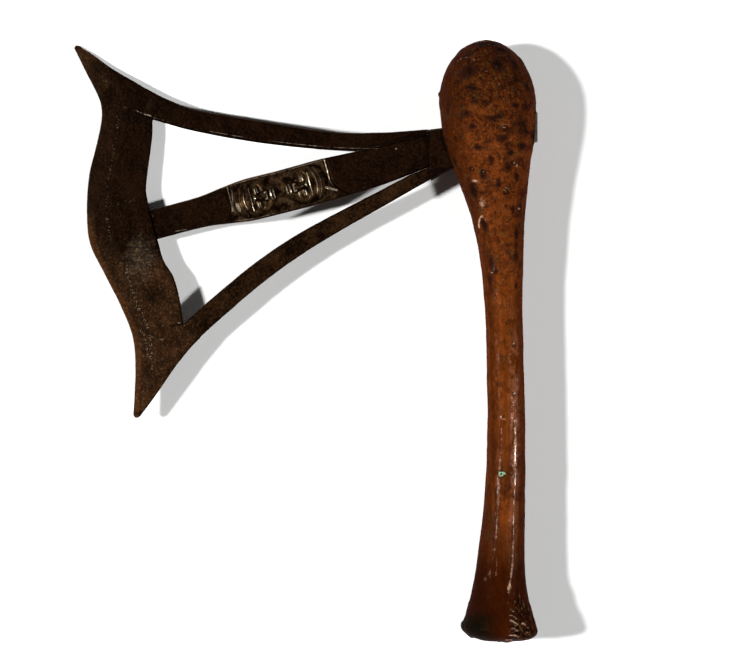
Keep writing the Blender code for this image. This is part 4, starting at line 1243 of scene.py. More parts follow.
class Finish(Tree):
    """A procedural material of one Principled shader, read on object coordinates and attributes.

    Its colour starts as a ground, and layers are laid over that one after another. Its noises are a
    table's, and each is made when it is first asked for.
    """

    def __init__(self, name, ground, noises=None):
        self.material = bpy.data.materials.get(name) or bpy.data.materials.new(name)
        self.material.use_nodes = True
        super().__init__(self.material.node_tree)
        self.place = self.add("ShaderNodeTexCoord", output="Object")
        self.colour = rgba(ground)
        self.table = noises
        self.noises = {}

    def paint(self, name):
        """A piece's painted attribute, from 0 to 1."""
        return self.add("ShaderNodeAttribute", {"attribute_name": name}, output="Fac")

    def lay(self, share, colour):
        """Lays a colour over what the finish has so far, by a share from 0 to 1."""
        self.colour = self.add("ShaderNodeMix", {"data_type": "RGBA"},
                               {"Factor_Float": share, "A_Color": self.colour, "B_Color": rgba(colour)},
                               "Result_Color")

    def pattern(self, name):
        """One of the finish's noises, from 0 to 1."""
        if name not in self.noises:
            size, detail, rough, seed, *scales = self.table[name]
            place = self.vector("MULTIPLY", self.place, *scales) if scales else self.place
            self.noises[name] = self.noise(place, size, detail, rough, seed)
        return self.noises[name]

    def ragged(self, value, low, high, **frays):
        """A mask of a value or a named noise. Other noises, each with its share, fray its border."""
        if isinstance(value, str):
            value = self.pattern(value)
        for name, share in frays.items():
            value = value + (self.pattern(name) - 0.5) * share
        return self.mask(value, low, high)

    def axis(self, name):
        """One of the object coordinates, in metres."""
        return self.add("ShaderNodeSeparateXYZ", values={0: self.place}, output=name)

    def bump(self, height, distance, normal=None):
        """Bump of a height from 0 to 1 over a distance in metres."""
        values = {"Height": height, "Distance": distance, "Strength": 1.0}
        if normal is not None:
            values["Normal"] = normal
        return self.add("ShaderNodeBump", values=values, output="Normal")

    def finish(self, **sockets):
        """Adds the shader with its colour, values and links, and returns the material."""
        values = {"Base Color": self.colour}
        values.update((name.replace("_", " "), value) for name, value in sockets.items())
        shader = self.add("ShaderNodeBsdfPrincipled", values=values, output="BSDF")
        self.add("ShaderNodeOutputMaterial", values={"Surface": shader})
        return self.material


def rgba(colour):
    """A colour with full alpha."""
    return (*colour, 1.0)


class Shaper(Tree):
    """A Geometry Nodes tree with named inputs, used once on an object."""

    def __init__(self, name, inputs):
        group = bpy.data.node_groups.new(name, "GeometryNodeTree")
        super().__init__(group)
        group.interface.new_socket("Geometry", in_out="OUTPUT", socket_type="NodeSocketGeometry")
        self.sockets = {"Geometry": group.interface.new_socket(
            "Geometry", in_out="INPUT", socket_type="NodeSocketGeometry")}
        self.given = {}
        for label, (kind, value) in inputs.items():
            self.sockets[label] = group.interface.new_socket(label, in_out="INPUT", socket_type=kind)
            self.given[label] = value
        self.source = self.add("NodeGroupInput")

    def input(self, label):
        """A named input of the tree."""
        return self.source.out(self.sockets[label].identifier)

    def end(self, geometry, material):
        """Closes the tree with Realize Instances and Set Material."""
        solid = self.add("GeometryNodeRealizeInstances", values={"Geometry": geometry})
        painted = self.add("GeometryNodeSetMaterial", values={"Geometry": solid, "Material": material})
        self.add("NodeGroupOutput", values={0: painted})

    def attach(self, item):
        """Puts the tree on an object, with its inputs set by identifier."""
        modifier = item.modifiers.new(self.tree.name, "NODES")
        modifier.node_group = self.tree
        for label, value in self.given.items():
            modifier[self.sockets[label].identifier] = value


def settle(item, cutters=()):
    """Makes the evaluated object its plain mesh, without modifiers, and removes what cut it."""
    graph = bpy.context.evaluated_depsgraph_get()
    data = bpy.data.meshes.new_from_object(item.evaluated_get(graph), depsgraph=graph)
    item.modifiers.clear()
    earlier, item.data = item.data, data
    bpy.data.meshes.remove(earlier)
    data.name = item.name
    for cutter in cutters:
        bpy.data.objects.remove(cutter)


def cut(target, data):
    """Takes a cutter mesh out of an object, and returns the cutter's object."""
    cutter = new_object(data.name, data)
    modifier = target.modifiers.new(cutter.name, "BOOLEAN")
    modifier.operation = "DIFFERENCE"
    modifier.solver = "MANIFOLD"
    modifier.object = cutter
    return cutter


def measure(settings, value):
    """A size in millimetres: a number, or the name of the setting that gives it."""
    return getattr(settings, value) / MM if isinstance(value, str) else value


def beat(item, material, settings, layers, seed, depth_share=1.0):
    """Beats an object's surface along its normals, in the layers of a table."""
    inputs = {"Seed": ("NodeSocketFloat", seed)}
    for label, _, depth, size, share, stretch, _ in layers:
        inputs[label + " depth"] = ("NodeSocketFloat", measure(settings, depth) * share * depth_share * MM)
        inputs[label + " size"] = ("NodeSocketFloat", measure(settings, size) * MM)
        inputs[label + " stretch"] = ("NodeSocketVector", stretch)
    tree = Shaper("beaten_surface", inputs)
    here = tree.add("GeometryNodeInputPosition")
    y = tree.add("ShaderNodeSeparateXYZ", values={0: here}, output="Y")
    height = 0.0
    for place, (label, kind, *_, between) in enumerate(layers):
        at = tree.vector("MULTIPLY", here, tree.input(label + " stretch"))
        size, seed_at = tree.input(label + " size"), tree.input("Seed") + SEED_STEP * place
        if kind == "cells":
            layer = tree.cells(at, size) ** 2.0 * 2.0 - 0.5
        elif kind == "cloud":
            layer = (tree.noise(at, size, 2.0, 0.5, seed_at) - 0.5) * 2.0
        else:
            layer = -tree.mask(tree.noise(at, size, 1.0, 0.5, seed_at), *PIT_BORDER)
        shown = tree.mask(y, *between) if between else 1.0
        height = layer * tree.input(label + " depth") * shown + height
    away = tree.vector("SCALE", tree.add("GeometryNodeInputNormal"), scale=height)
    beaten = tree.vector("MAXIMUM", tree.vector("ADD", here, away), ABOVE_FLOOR)
    moved = tree.add("GeometryNodeSetPosition",
                     values={"Geometry": tree.input("Geometry"), "Position": beaten})
    tree.end(moved, material)
    tree.attach(item)


# ---- painted attributes


def drawn_points(item):
    """A finished mesh's points, in millimetres of the drawing."""
    places = np.zeros(len(item.data.vertices) * 3)
    item.data.vertices.foreach_get("co", places)
    return (places.reshape(-1, 3) - np.array(drawing_origin())) / MM


def paint(item, name, values):
    """Stores a painted attribute, from 0 to 1, on an object's mesh."""
    layer = item.data.attributes.new(name, "FLOAT", "POINT")
    layer.data.foreach_set("value", np.clip(values, 0.0, 1.0).astype(np.float32))


class Paints:
    """Painted values by name. What is laid later shows only where it is stronger."""

    def __init__(self):
        self.values = {}

    def lay(self, name, values):
        """Lays values over what the paint has so far."""
        self.values[name] = np.maximum(self.values.get(name, 0.0), values)

    def store(self, item):
        """Stores all the paints on an object's mesh."""
        for name, values in self.values.items():
            paint(item, name, values)


def paint_hollows(item, rounds, depth, shade_share):
    """Paints a finished mesh's hollows and its ridges, from how each point lies to its surroundings.

    Hollows take dirt and painted shade, ridges wear and painted highlight. Painted shade also lies on the
    sides that face the butt or the haft, by a share.
    """
    data = item.data
    count = len(data.vertices)
    places, normals = np.zeros(count * 3), np.zeros(count * 3)
    data.vertices.foreach_get("co", places)
    data.vertices.foreach_get("normal", normals)
    ends = np.zeros(len(data.edges) * 2, dtype=np.int32)
    data.edges.foreach_get("vertices", ends)
    first, second = ends[0::2], ends[1::2]
    neighbours = np.bincount(ends, minlength=count)

    def spread(values, times):
        for _ in range(times):
            around = np.bincount(first, values[second], count) + np.bincount(second, values[first], count)
            values = (values + around / neighbours) / 2
        return values

    places, normals = places.reshape(-1, 3), normals.reshape(-1, 3)
    smoothed = np.stack([spread(column, rounds) for column in places.T], axis=1)
    under = ((smoothed - places) * normals).sum(axis=1)
    under = (under - spread(under, rounds * WIDE_SPREAD)) / (depth * MM)
    # Painted shade on the sides that face the butt or the haft, with the dirt and painted shade in hollows;
    # ridges take wear and painted highlight
    away = np.maximum(-normals[:, 1], normals[:, 0])
    paint(item, "hollow", np.maximum(under, smooth(away, *SHADED_SIDES) * shade_share))
    paint(item, "ridge", -under)


def paint_spots(at, paints):
    """Stains, verdigris and painted glints, each round its own place, and painted highlights along the
    lines.
    """
    fall, power = STAIN_FALL
    for place in STAINS:
        paints.lay("stain", np.exp(-fall * at.spot(*place) ** power))
    for *place, strength in VERDIGRIS:
        paints.lay("verdigris", strength * np.exp(-VERDIGRIS_FALL * at.spot(*place)))
    for *place, strength in GLINTS:
        paints.lay("glint", strength * np.exp(-at.spot(*place)))
    for half, strength, turns in LIT_SEAMS:
        distance, _, ends = at.line(turns)
        paints.lay("glint", strength * bell(distance, 0.0, half) * smooth(ends, *SEAM_ENDS))


def paint_dents(at, paints):
    """Each dent's rubbed rim and bright middle, painted lit on its upper side, with dirt and painted shade
    between them.
    """
    for y, turn, half_length, half_width, depth, rim in DIMPLES:
        distance = np.sqrt(at.spot(y, turn, half_length, half_width))
        # Painted highlight on the dent's upper rim and up its middle, dirt and painted shade in the ring
        # between
        upper_rim = smooth((at.y - y) / half_length, -0.2, 1.0)
        paints.lay("burnish", upper_rim * bell(distance, *RUBBED_AND_LIT_RIM) * min(0.8, rim * 5.0))
        middle = at.spot(y + half_length * BRIGHT_MIDDLE[0], turn, half_length, half_width)
        share = min(1.0, LONG_DENT / half_length)
        paints.lay("burnish", share * np.exp(-middle / BRIGHT_MIDDLE[1] ** 2) * min(1.2, depth * 3.0))
        paints.lay("grime", share * bell(distance, *DIRTY_AND_SHADED_RIM) * min(1.1, depth * 2.6))


def paint_edges(at, paints):
    """The sheet's folds, ripples and gathers: rubbed and painted lit on their height, with dirt and painted
    shade beside it.
    """
    # Painted light on a fold's raised side, dirt and painted shade below it
    for rise, _, _, turns in FOLDS:
        distance, side, ends = at.line(turns)
        for name, shown, run, strength in zip(("burnish", "grime"), (side >= 0.0, side < 0.0),
                                              FOLD_RUN, FOLD_PAINT):
            fade = smooth(ends, *LINE_ENDS) * np.exp(-distance / run)
            paints.lay(name, fade * shown * min(1.0, rise * strength))
    # Painted light on ripples and gathers, dirt and painted shade beside them
    for ripple in RIPPLES:
        arc, fade, right = at.crescent(*ripple)
        paints.lay("burnish", fade * (0.3 + right) * bell(arc, *RIPPLE_LIGHT))
        paints.lay("grime", 1.3 * fade * (0.3 + right) * bell(arc, *RIPPLE_DIRT_AND_SHADE))
    for y0, turn0, y1, turn1 in GATHERS:
        distance, side, ends = at.line(((y0, turn0), (y1, turn1)))
        fade = smooth(ends, *GATHER_ENDS)
        paints.lay("burnish", 0.8 * fade * bell(distance, *GATHER_LIGHT))
        paints.lay("grime", 1.2 * fade * bell(distance * side, *GATHER_DIRT_AND_SHADE))


def paint_handling(at, paints):
    """The painted shade in brown down the haft's sides and the polish where a hand holds it."""
    turns, strength = SIDE_SHADE
    fade_ys, fade = RIGHT_HEAD
    right_side = (at.turn > 0.0) * smooth(at.y, *fade_ys)
    left_turns, left_ys = LEFT_HEAD
    paints.lay("flank", smooth(np.abs(at.turn), *turns) * (strength - fade * right_side)
               + smooth(-at.turn, *left_turns) * smooth(at.y, *left_ys))
    for turn, spread, ys, strength in SHADE_STREAKS:
        paints.lay("flank", strength * bell(at.turn, turn, spread) * smooth(at.y, *ys))
    polish = [strength * bell(at.turn, turn, spread) * smooth(at.y, *ys)
              for turn, spread, ys, strength in POLISH_STREAKS]
    fade_ys, fade = POLISH_FADE
    polish[0] *= 1.0 - fade * smooth(at.y, *fade_ys)
    paints.lay("handled", sum(polish))


def paint_haft(item):
    """Paints all that the copper's finish needs to know of places on the haft."""
    points = drawn_points(item)
    at = HaftPlaces(points)
    paints = Paints()
    paint_spots(at, paints)
    paint_dents(at, paints)
    paint_edges(at, paints)
    paint_handling(at, paints)
    # Dirt and painted shade round the slot
    paints.lay("grime", np.exp(-slot_distance(points) / SLOT_DIRT_AND_SHADE))
    middle, spread = CRUMPLE
    crumple = np.exp(-((at.turn - middle) / spread) ** CRUMPLE_POWER)
    for ys in CRUMPLE_ENDS:
        crumple = crumple * smooth(at.y, *ys)
    paints.lay("crumple", crumple)
    paints.store(item)


def edge_distance(points):
    """Distance of points from the cutting edge, measured along X."""
    lowest, highest = CUTTING_EDGE[-1][0], CUTTING_EDGE[0][0]
    table = np.array([(y, read_rows(CUTTING_EDGE, y)[0]) for y in np.arange(lowest, highest, 1.5)])
    return points[:, 0] - np.interp(points[:, 1], table[:, 0], table[:, 1])


def paint_rust(points, paints):
    """Rust on the plate, and its pale pitted patch."""
    x, y = points[:, 0], points[:, 1]
    on_blade = smooth(x, *BLADE_STARTS)
    for strength, xs, ys in BLADE_RUST:
        reach = smooth(y, *ys) * (smooth(x, *xs) if xs else 1.0)
        paints.lay("rust", on_blade * strength * reach)
    strength, distances, ys = EDGE_RUST
    paints.lay("rust", on_blade * strength * smooth(edge_distance(points), *distances) * smooth(y, *ys))
    for name, share, (middle_x, middle_y, half_x, half_y) in (
            ("rust", on_blade * RUST_SPOT_STRENGTH, RUST_SPOT), ("patch", 1.0, PALE_PATCH)):
        paints.lay(name, share * bell(x, middle_x, half_x) * bell(y, middle_y, half_y))


def worn_and_lit_lines():
    """The iron's worn lines, painted highlights and painted shade lines, with the painted highlight on the
    arris along the upper strut's lower edge.
    """
    inside, half, strength = LIT_ARRIS
    arris = [(x0, y0 + inside, x1, y1 + inside, half, strength)
             for (x0, y0), (x1, y1) in zip(UPPER_LOW, UPPER_LOW[1:]) if x1 < ARRIS_END]
    return (*WEAR_AND_LIGHT_MARKS, *arris)


def paint_iron(item):
    """Paints rust, worn lines and painted highlights, painted shade lines, painted light on the tang's end,
    the carved part and the pale patch on an iron piece.
    """
    points = drawn_points(item)
    x, y = points[:, 0], points[:, 1]
    paints = Paints()
    paint_rust(points, paints)
    over, across, along = strap_places(points)
    ends = [HEAD_LENGTH + past for past in CARVED_ENDS]
    carved = smooth(np.abs(along - RELIEF_MIDDLE), *ends) * smooth(np.abs(across), *CARVED_SIDES)
    paints.lay("carved", carved * (over > 0.0))
    # Painted light on the tang's end
    paints.lay("wear", smooth(x, *TANG_SHOWS) * TANG_LIGHT)
    for start_x, start_y, end_x, end_y, half, strength in worn_and_lit_lines():
        run_x, run_y = end_x - start_x, end_y - start_y
        share = np.clip(((x - start_x) * run_x + (y - start_y) * run_y) / (run_x**2 + run_y**2), 0.0, 1.0)
        distance = np.hypot(x - start_x - run_x * share, y - start_y - run_y * share)
        paints.lay("wear" if strength > 0.0 else "grime", bell(distance, 0.0, half) * abs(strength))
    paints.store(item)


# ---- punched rings


def ring_path():
    """A curve object along the rows of punched rings, a little over the plate."""
    data = bpy.data.curves.new("ring_rows", "CURVE")
    data.dimensions = "3D"
    origin = drawing_origin()
    for row in RING_ROWS:
        spline = data.splines.new("POLY")
        points = [lift(point, PLATE_HALF * 2) for point in sample(row, 4 * len(row))]
        spline.points.add(len(points) - 1)
        for place, point in zip(spline.points, points):
            place.co = (*(point * MM + origin), 1.0)
    return new_object("ring_rows", data)


def punch(item, path, material, sizes):
    """Joins the lips of the punched rings to the plate, one ring after another along the path."""
    tree = Shaper("punched_rings", {
        "Path": ("NodeSocketObject", path),
        "Spacing": ("NodeSocketFloat", sizes.ring_spacing),
        "Ring radius": ("NodeSocketFloat", sizes.ring_diameter / 2),
        "Lip radius": ("NodeSocketFloat", RING_LIP * MM),
        "Seed": ("NodeSocketInt", RING_SEED),
    })
    plate = tree.input("Geometry")
    line = tree.add("GeometryNodeObjectInfo", values={"Object": tree.input("Path")}, output="Geometry")
    dots = tree.add("GeometryNodeCurveToPoints", {"mode": "LENGTH"},
                    {"Curve": line, "Length": tree.input("Spacing")}, "Points")
    here = tree.add("GeometryNodeInputPosition")
    jitter = tree.add("FunctionNodeRandomValue", {"data_type": "FLOAT_VECTOR"},
                      {"Min": (-RING_JITTER * MM, -RING_JITTER * MM, 0.0),
                       "Max": (RING_JITTER * MM, RING_JITTER * MM, 0.0), "Seed": tree.input("Seed")})
    start = tree.vector("ADD", here, jitter)
    hit = tree.add("GeometryNodeRaycast", values={"Target Geometry": plate, "Source Position": start,
                                                  "Ray Direction": (0.0, 0.0, -1.0),
                                                  "Ray Length": RING_FINDER},
                   output="Hit Position")
    facing = tree.add("GeometryNodeStoreNamedAttribute", {"data_type": "FLOAT_VECTOR", "domain": "POINT"},
                      {"Geometry": dots, "Name": "facing", "Value": hit.out("Hit Normal")})
    seated = tree.add("GeometryNodeSetPosition", values={"Geometry": facing, "Position": hit})
    circle, wire = (tree.add("GeometryNodeCurvePrimitiveCircle",
                             values={"Resolution": sides, "Radius": tree.input(radius)})
                    for sides, radius in ((RING_SIDES, "Ring radius"), (LIP_SIDES, "Lip radius")))
    ring = tree.add("GeometryNodeCurveToMesh", values={"Curve": circle, "Profile Curve": wire})
    marked = tree.add("GeometryNodeStoreNamedAttribute", {"data_type": "FLOAT", "domain": "POINT"},
                      {"Geometry": ring, "Name": "ring", "Value": 1.0})
    normal = tree.add("GeometryNodeInputNamedAttribute", {"data_type": "FLOAT_VECTOR"},
                      {"Name": "facing"})
    upright = tree.add("FunctionNodeAlignRotationToVector", {"axis": "Z"}, {"Vector": normal})
    least, greatest = RING_SIZES
    size = tree.add("FunctionNodeRandomValue", {"data_type": "FLOAT"},
                    {"Min_001": least, "Max_001": greatest, "Seed": tree.input("Seed")}, "Value_001")
    rings = tree.add("GeometryNodeInstanceOnPoints",
                     values={"Points": seated, "Instance": marked, "Rotation": upright, "Scale": size})
    both = tree.add("GeometryNodeJoinGeometry", values={0: [rings, plate]})
    tree.end(both, material)
    tree.attach(item)


# ---- finishes


def lay_patina(copper, zone, colours):
    """The brown patina: the haft's zones with their clouds, flecks, bands and specks."""
    head, crown, lower, butt, flank = (zone[name] for name in ("head", "crown", "lower", "butt", "flank"))
    copper.lay(head, colours.head_colour)
    copper.lay(copper.ragged("cloud", 0.47, 0.68, mottle=0.5) * 0.6 * (1.0 - lower), colours.warm_colour)
    copper.lay(crown * 0.86, colours.brown_colour)
    # Painted shade in brown down the haft's sides
    copper.lay(flank * (0.78 + crown * 0.14 - butt * 0.23), colours.brown_colour)
    flecks = copper.ragged("fleck", 0.5, 0.7, mottle=0.4) * (0.75 - head * 0.25)
    flecks = flecks * (1.0 - crown * 0.3) * (1.0 - lower * 0.5) * (1.0 - flank * 0.6)
    copper.lay(flecks, colours.fleck_colour)
    bands = copper.ragged("bands", 0.46, 0.7, cloud=0.4) * head
    bands = bands + copper.ragged("streak", 0.44, 0.66) * (1.0 - head) * 0.55
    copper.lay(bands * (0.62 + lower * 0.2), colours.brown_colour)
    clouds = lower * (1.0 - butt) * copper.ragged("cloud", 0.35, 0.6, streak=0.8)
    copper.lay(clouds * 0.66, colours.halo_colour)
    copper.lay(copper.ragged("mottle", 0.46, 0.64, speck=0.3) * (0.5 + head * 0.1), colours.brown_colour)
    copper.lay(copper.ragged("speck", 0.48, 0.66, mottle=0.5) * (0.3 + head * 0.22), colours.brown_colour)
    copper.lay(butt * 0.88, colours.butt_colour)


def lay_spots(copper, zone, colours):
    """Purple and olive spots, dark pepper on the head, and the rubbed places between it."""
    head, crown, upper, flank = (zone[name] for name in ("head", "crown", "upper", "flank"))
    copper.lay(copper.ragged("blotch", 0.5, 0.66) * upper * 0.62, colours.halo_colour)
    olive = copper.ragged("olive", 0.55, 0.69) * (0.5 - zone["butt"] * 0.5 + upper * 0.5)
    copper.lay(olive * 0.55, colours.olive_colour)
    pepper = copper.ragged("pepper", 0.55, 0.64, mottle=0.4)
    peppered = head * 0.22 + crown * 0.2 + zone["shoulder"] * 0.38
    copper.lay(pepper * (0.08 + peppered), colours.halo_colour)
    copper.lay(pepper * crown * 0.65, colours.dirt_and_shade_colour)
    rubbed = copper.ragged("pepper", 0.42, 0.33, mottle=0.4) * head * (1.0 - flank * 0.75)
    copper.lay(rubbed * crown * 0.48, colours.gold_colour)
    copper.lay(rubbed * (1.0 - crown) * 0.34, colours.fleck_colour)


def lay_stains(copper, zone, colours):
    """The stains, with a soft edge and a dark core: each in its place, and more at random on the head."""
    placed = copper.paint("stain")
    copper.lay(copper.ragged(placed, 0.02, 0.6, torn=0.9) * 0.55, colours.halo_colour)
    scattered = copper.ragged("stains", 0.52, 0.76, torn=0.6) * zone["head"]
    stain = copper.ragged(placed, 0.15, 1.15, torn=2.6).most(scattered * 0.8)
    copper.lay(stain * (0.6 + zone["head"] * 0.27), colours.stain_colour)
    core = copper.ragged(placed, 0.7, 1.1, torn=0.9)
    copper.lay(core * (0.3 + zone["crown"] * 0.4), colours.dirt_and_shade_colour)
    return stain


def lay_dirt_and_shade(copper, zone, colours):
    """Dirt and painted shade in hollows and creases, painted shade on the butt's left side and green on its
    left rim, with painted highlights in gold on its crumpled folds.
    """
    crumple = copper.paint("crumple")
    # Painted highlights in gold and painted shade in the creases, for the crumpled sheet at the butt
    copper.lay(copper.ragged("folds", 0.54, 0.66) * crumple * 0.8, colours.gold_colour)
    creases = copper.ragged("folds", 0.5, 0.42) * crumple
    # Dirt and painted shade from the paints, the hollows and the crumpled creases
    dirt = copper.paint("grime").most(copper.paint("hollow") * 0.35).most(creases)
    dark = copper.ragged(dirt, 0.2, 0.95, speck=0.5)
    copper.lay(dark * 0.85, colours.dirt_and_shade_colour)
    # Painted shade on the butt's left side
    copper.lay(zone["butt"] * zone["left"] * 0.42, colours.dirt_and_shade_colour)
    green = zone["rim"] * copper.ragged("mottle", 0.24, 0.5) * zone["left"]
    copper.lay(green * 0.85, colours.green_colour)
    return dark


def lay_bare_and_lit_copper(copper, zone, colours):
    """Bare metal on rubbed edges with painted highlights, the polish of a hand and the painted glints.
    Returns the first two.
    """
    # Wear and painted highlights on rims, folds, ripples and ridges
    raised = copper.paint("burnish").most(copper.paint("ridge") * 0.4)
    worn = copper.ragged(raised, 0.5, 1.2, speck=1.1, mottle=0.7)
    polish = copper.ragged("mottle", 0.7, 0.36, streak=1.4)
    gloss = copper.paint("handled") * polish * (1.0 - zone["butt"] * 0.8)
    copper.lay((worn * 0.55).most(gloss * 0.1), colours.worn_and_lit_colour)
    # Painted highlights
    glint = copper.ragged(copper.paint("glint"), 0.26, 1.2, notched=1.7, speck=0.7)
    copper.lay(glint * 0.85, colours.glint_colour)
    return worn, gloss


def lay_verdigris(copper, colours):
    """Verdigris as a crumbly crescent round its dark green middle."""
    placed = copper.paint("verdigris")
    around = copper.ragged(placed, 0.02, 0.15)
    crescent = (around * copper.ragged(placed, 0.28, 0.46, crumbs=1.3)
                * copper.ragged(placed, 0.92, 0.74, crumbs=1.3))
    copper.lay(around * copper.ragged(placed, 0.02, 0.26, crumbs=1.3) * 0.85, colours.green_colour)
    copper.lay(crescent, colours.verdigris_colour)
    return crescent


def copper_finish(colours):
    """Beaten copper under an old brown patina, with dark stains, worn edges, painted highlights and painted
    shade, and a verdigris spot.
    """
    copper = Finish("beaten_copper", colours.grip_colour, COPPER_NOISES)
    axes = {"X": copper.axis("X"), "Y": copper.axis("Y")}
    zone = {name: copper.ragged(axes[axis], start, full, **frays)
            for name, (axis, start, full, frays) in COPPER_ZONES.items()}
    # The painted shade down the haft's sides
    zone["flank"] = copper.paint("flank")
    lay_patina(copper, zone, colours)
    lay_spots(copper, zone, colours)
    stain = lay_stains(copper, zone, colours)
    dark = lay_dirt_and_shade(copper, zone, colours)
    worn, gloss = lay_bare_and_lit_copper(copper, zone, colours)
    verdigris = lay_verdigris(copper, colours)

    cloud, mottle, speck = (copper.pattern(name) for name in ("cloud", "mottle", "speck"))
    rough = (0.6 + (mottle - 0.5) * 0.2 + (cloud - 0.5) * 0.1 - worn * 0.28 - gloss * 0.22
             + verdigris * 0.2)
    metal = (0.32 - stain * 0.25 - dark * 0.25 - verdigris * 0.3 - zone["butt"] * 0.15 + worn * 0.5
             + gloss * 0.25)
    coat = (gloss * 0.55 + worn * 0.35) * (1.0 - verdigris) * (1.0 - zone["flank"] * 0.6)
    on_grip, on_head = COPPER_RELIEF
    share = on_grip + zone["head"] * on_head
    bump = None
    for height, distance in ((mottle * share, 0.0013), (copper.pattern("bands") * zone["head"], 0.0014),
                             (speck * share, 0.0011), (copper.pattern("streak"), 0.0005)):
        bump = copper.bump(height, distance, bump)
    return copper.finish(Roughness=rough, Metallic=metal, Coat_Weight=coat, Coat_Roughness=0.2,
                         Specular_IOR_Level=0.01, Specular_Tint=rgba(colours.sheen_colour), Normal=bump)


def lay_rust(iron, colours, brown):
    """Thin brown rust, by a share of the dark oiled skin, and orange rust where it is painted."""
    painted = iron.paint("rust")
    rust = iron.ragged(painted, 0.25, 0.95, cloud=0.4, mottle=0.6)
    lit = iron.ragged("grain", 0.36, 0.68, fine=0.5, mottle=0.4, cloud=0.3)
    iron.lay(lit, colours.iron_colour)
    browned = iron.ragged("cloud", 0.3, 0.8, mottle=0.3, grain=1.2) * brown
    iron.lay(browned.most(rust * (lit * 0.4 + 0.42)), colours.brown_colour)
    glow = iron.ragged(painted, 0.5, 1.4, cloud=0.4, mottle=0.5, grain=1.1)
    iron.lay(glow * 0.8, colours.rust_colour)
    return rust


def lay_patch(iron, colours, rust):
    """The pale patch with its wrinkles, and pale specks in it and in the rust."""
    patch = iron.ragged(iron.paint("patch"), 0.34, 1.0, mottle=0.8, grain=1.2)
    iron.lay(patch * 0.22, colours.patch_colour)
    iron.lay(patch * iron.ragged("wrinkles", 0.52, 0.62) * 0.24, colours.sand_colour)
    iron.lay(patch * iron.ragged("wrinkles", 0.48, 0.38) * 0.6, colours.skin_colour)
    specks = iron.ragged("fine", 0.55, 0.74, grain=0.8) * (0.04 + rust * 0.3 + patch * 0.3)
    iron.lay(specks, colours.sand_colour)


def lay_worn_lit_and_shaded_iron(iron, colours, carved):
    """The carving's brown, dirt and painted shade in the hollows and on shaded sides, and bright metal with
    painted highlights on lines, ridges and ring lips.
    """
    grime = iron.paint("grime")
    iron.lay(carved * iron.ragged("mottle", 0.4, 0.6) * 0.8, colours.carved_colour)
    # Dirt and painted shade in hollows and on the sides facing away, in the skin's colour
    sunk = (iron.paint("hollow") * (0.7 + carved * 0.3)).most(grime)
    iron.lay(iron.ragged(sunk, 0.15, 0.9, grain=0.4) * 0.85, colours.skin_colour)
    faint = iron.ragged(iron.axis("Y"), *FAINT_RINGS) * 0.18
    lips = iron.paint("ring") * (0.52 - faint + iron.ragged("grain", 0.44, 0.6) * 0.36)
    # Wear and painted highlights on lines, ridges and ring lips
    raised = iron.paint("wear").most(iron.paint("ridge") * (0.45 + carved * 0.62)).most(lips)
    wear = iron.ragged(raised, 0.52, 1.15, grain=1.0, mottle=0.8) * (1.0 - iron.ragged(grime, 0.1, 0.5))
    iron.lay(wear * (0.55 + carved * 0.25), colours.worn_and_lit_colour)
    return wear


def iron_finish(name, colours, brown):
    """Forged iron with a dark oiled skin, rust, and worn carving with painted highlights and painted shade.
    brown is its share of rust brown.
    """
    iron = Finish(name, colours.skin_colour, IRON_NOISES)
    carved = iron.paint("carved")
    rust = lay_rust(iron, colours, brown)
    lay_patch(iron, colours, rust)
    wear = lay_worn_lit_and_shaded_iron(iron, colours, carved)

    mottle, grain = iron.pattern("mottle"), iron.pattern("grain")
    rough = 0.42 + (mottle - 0.5) * 0.2 + (grain - 0.5) * 0.25 + rust * 0.2 - wear * 0.1 - carved * 0.08
    metal = 0.3 - rust * 0.2 + wear * 0.4 + carved * 0.25
    bump = iron.bump(grain, 0.00014, iron.bump(mottle, 0.0003))
    return iron.finish(Roughness=rough, Metallic=metal, Specular_IOR_Level=0.03,
                       Specular_Tint=rgba(colours.sheen_colour), Normal=bump)


# ---- settings


def colour_property(name, description, default):
    """A colour setting."""
    return FloatVectorProperty(name=name, description=description, default=default, subtype="COLOR",
                               min=0.0, max=1.0)


def size_property(name, description, default):
    """A size setting, given here in millimetres and kept in metres."""
    return FloatProperty(name=name, description=description, default=default * MM, min=0.0,
                         unit="LENGTH", subtype="DISTANCE", precision=5)


def light_property(name, description, default):
    """The strength of a light."""
    return FloatProperty(name=name, description=description, default=default, min=0.0)


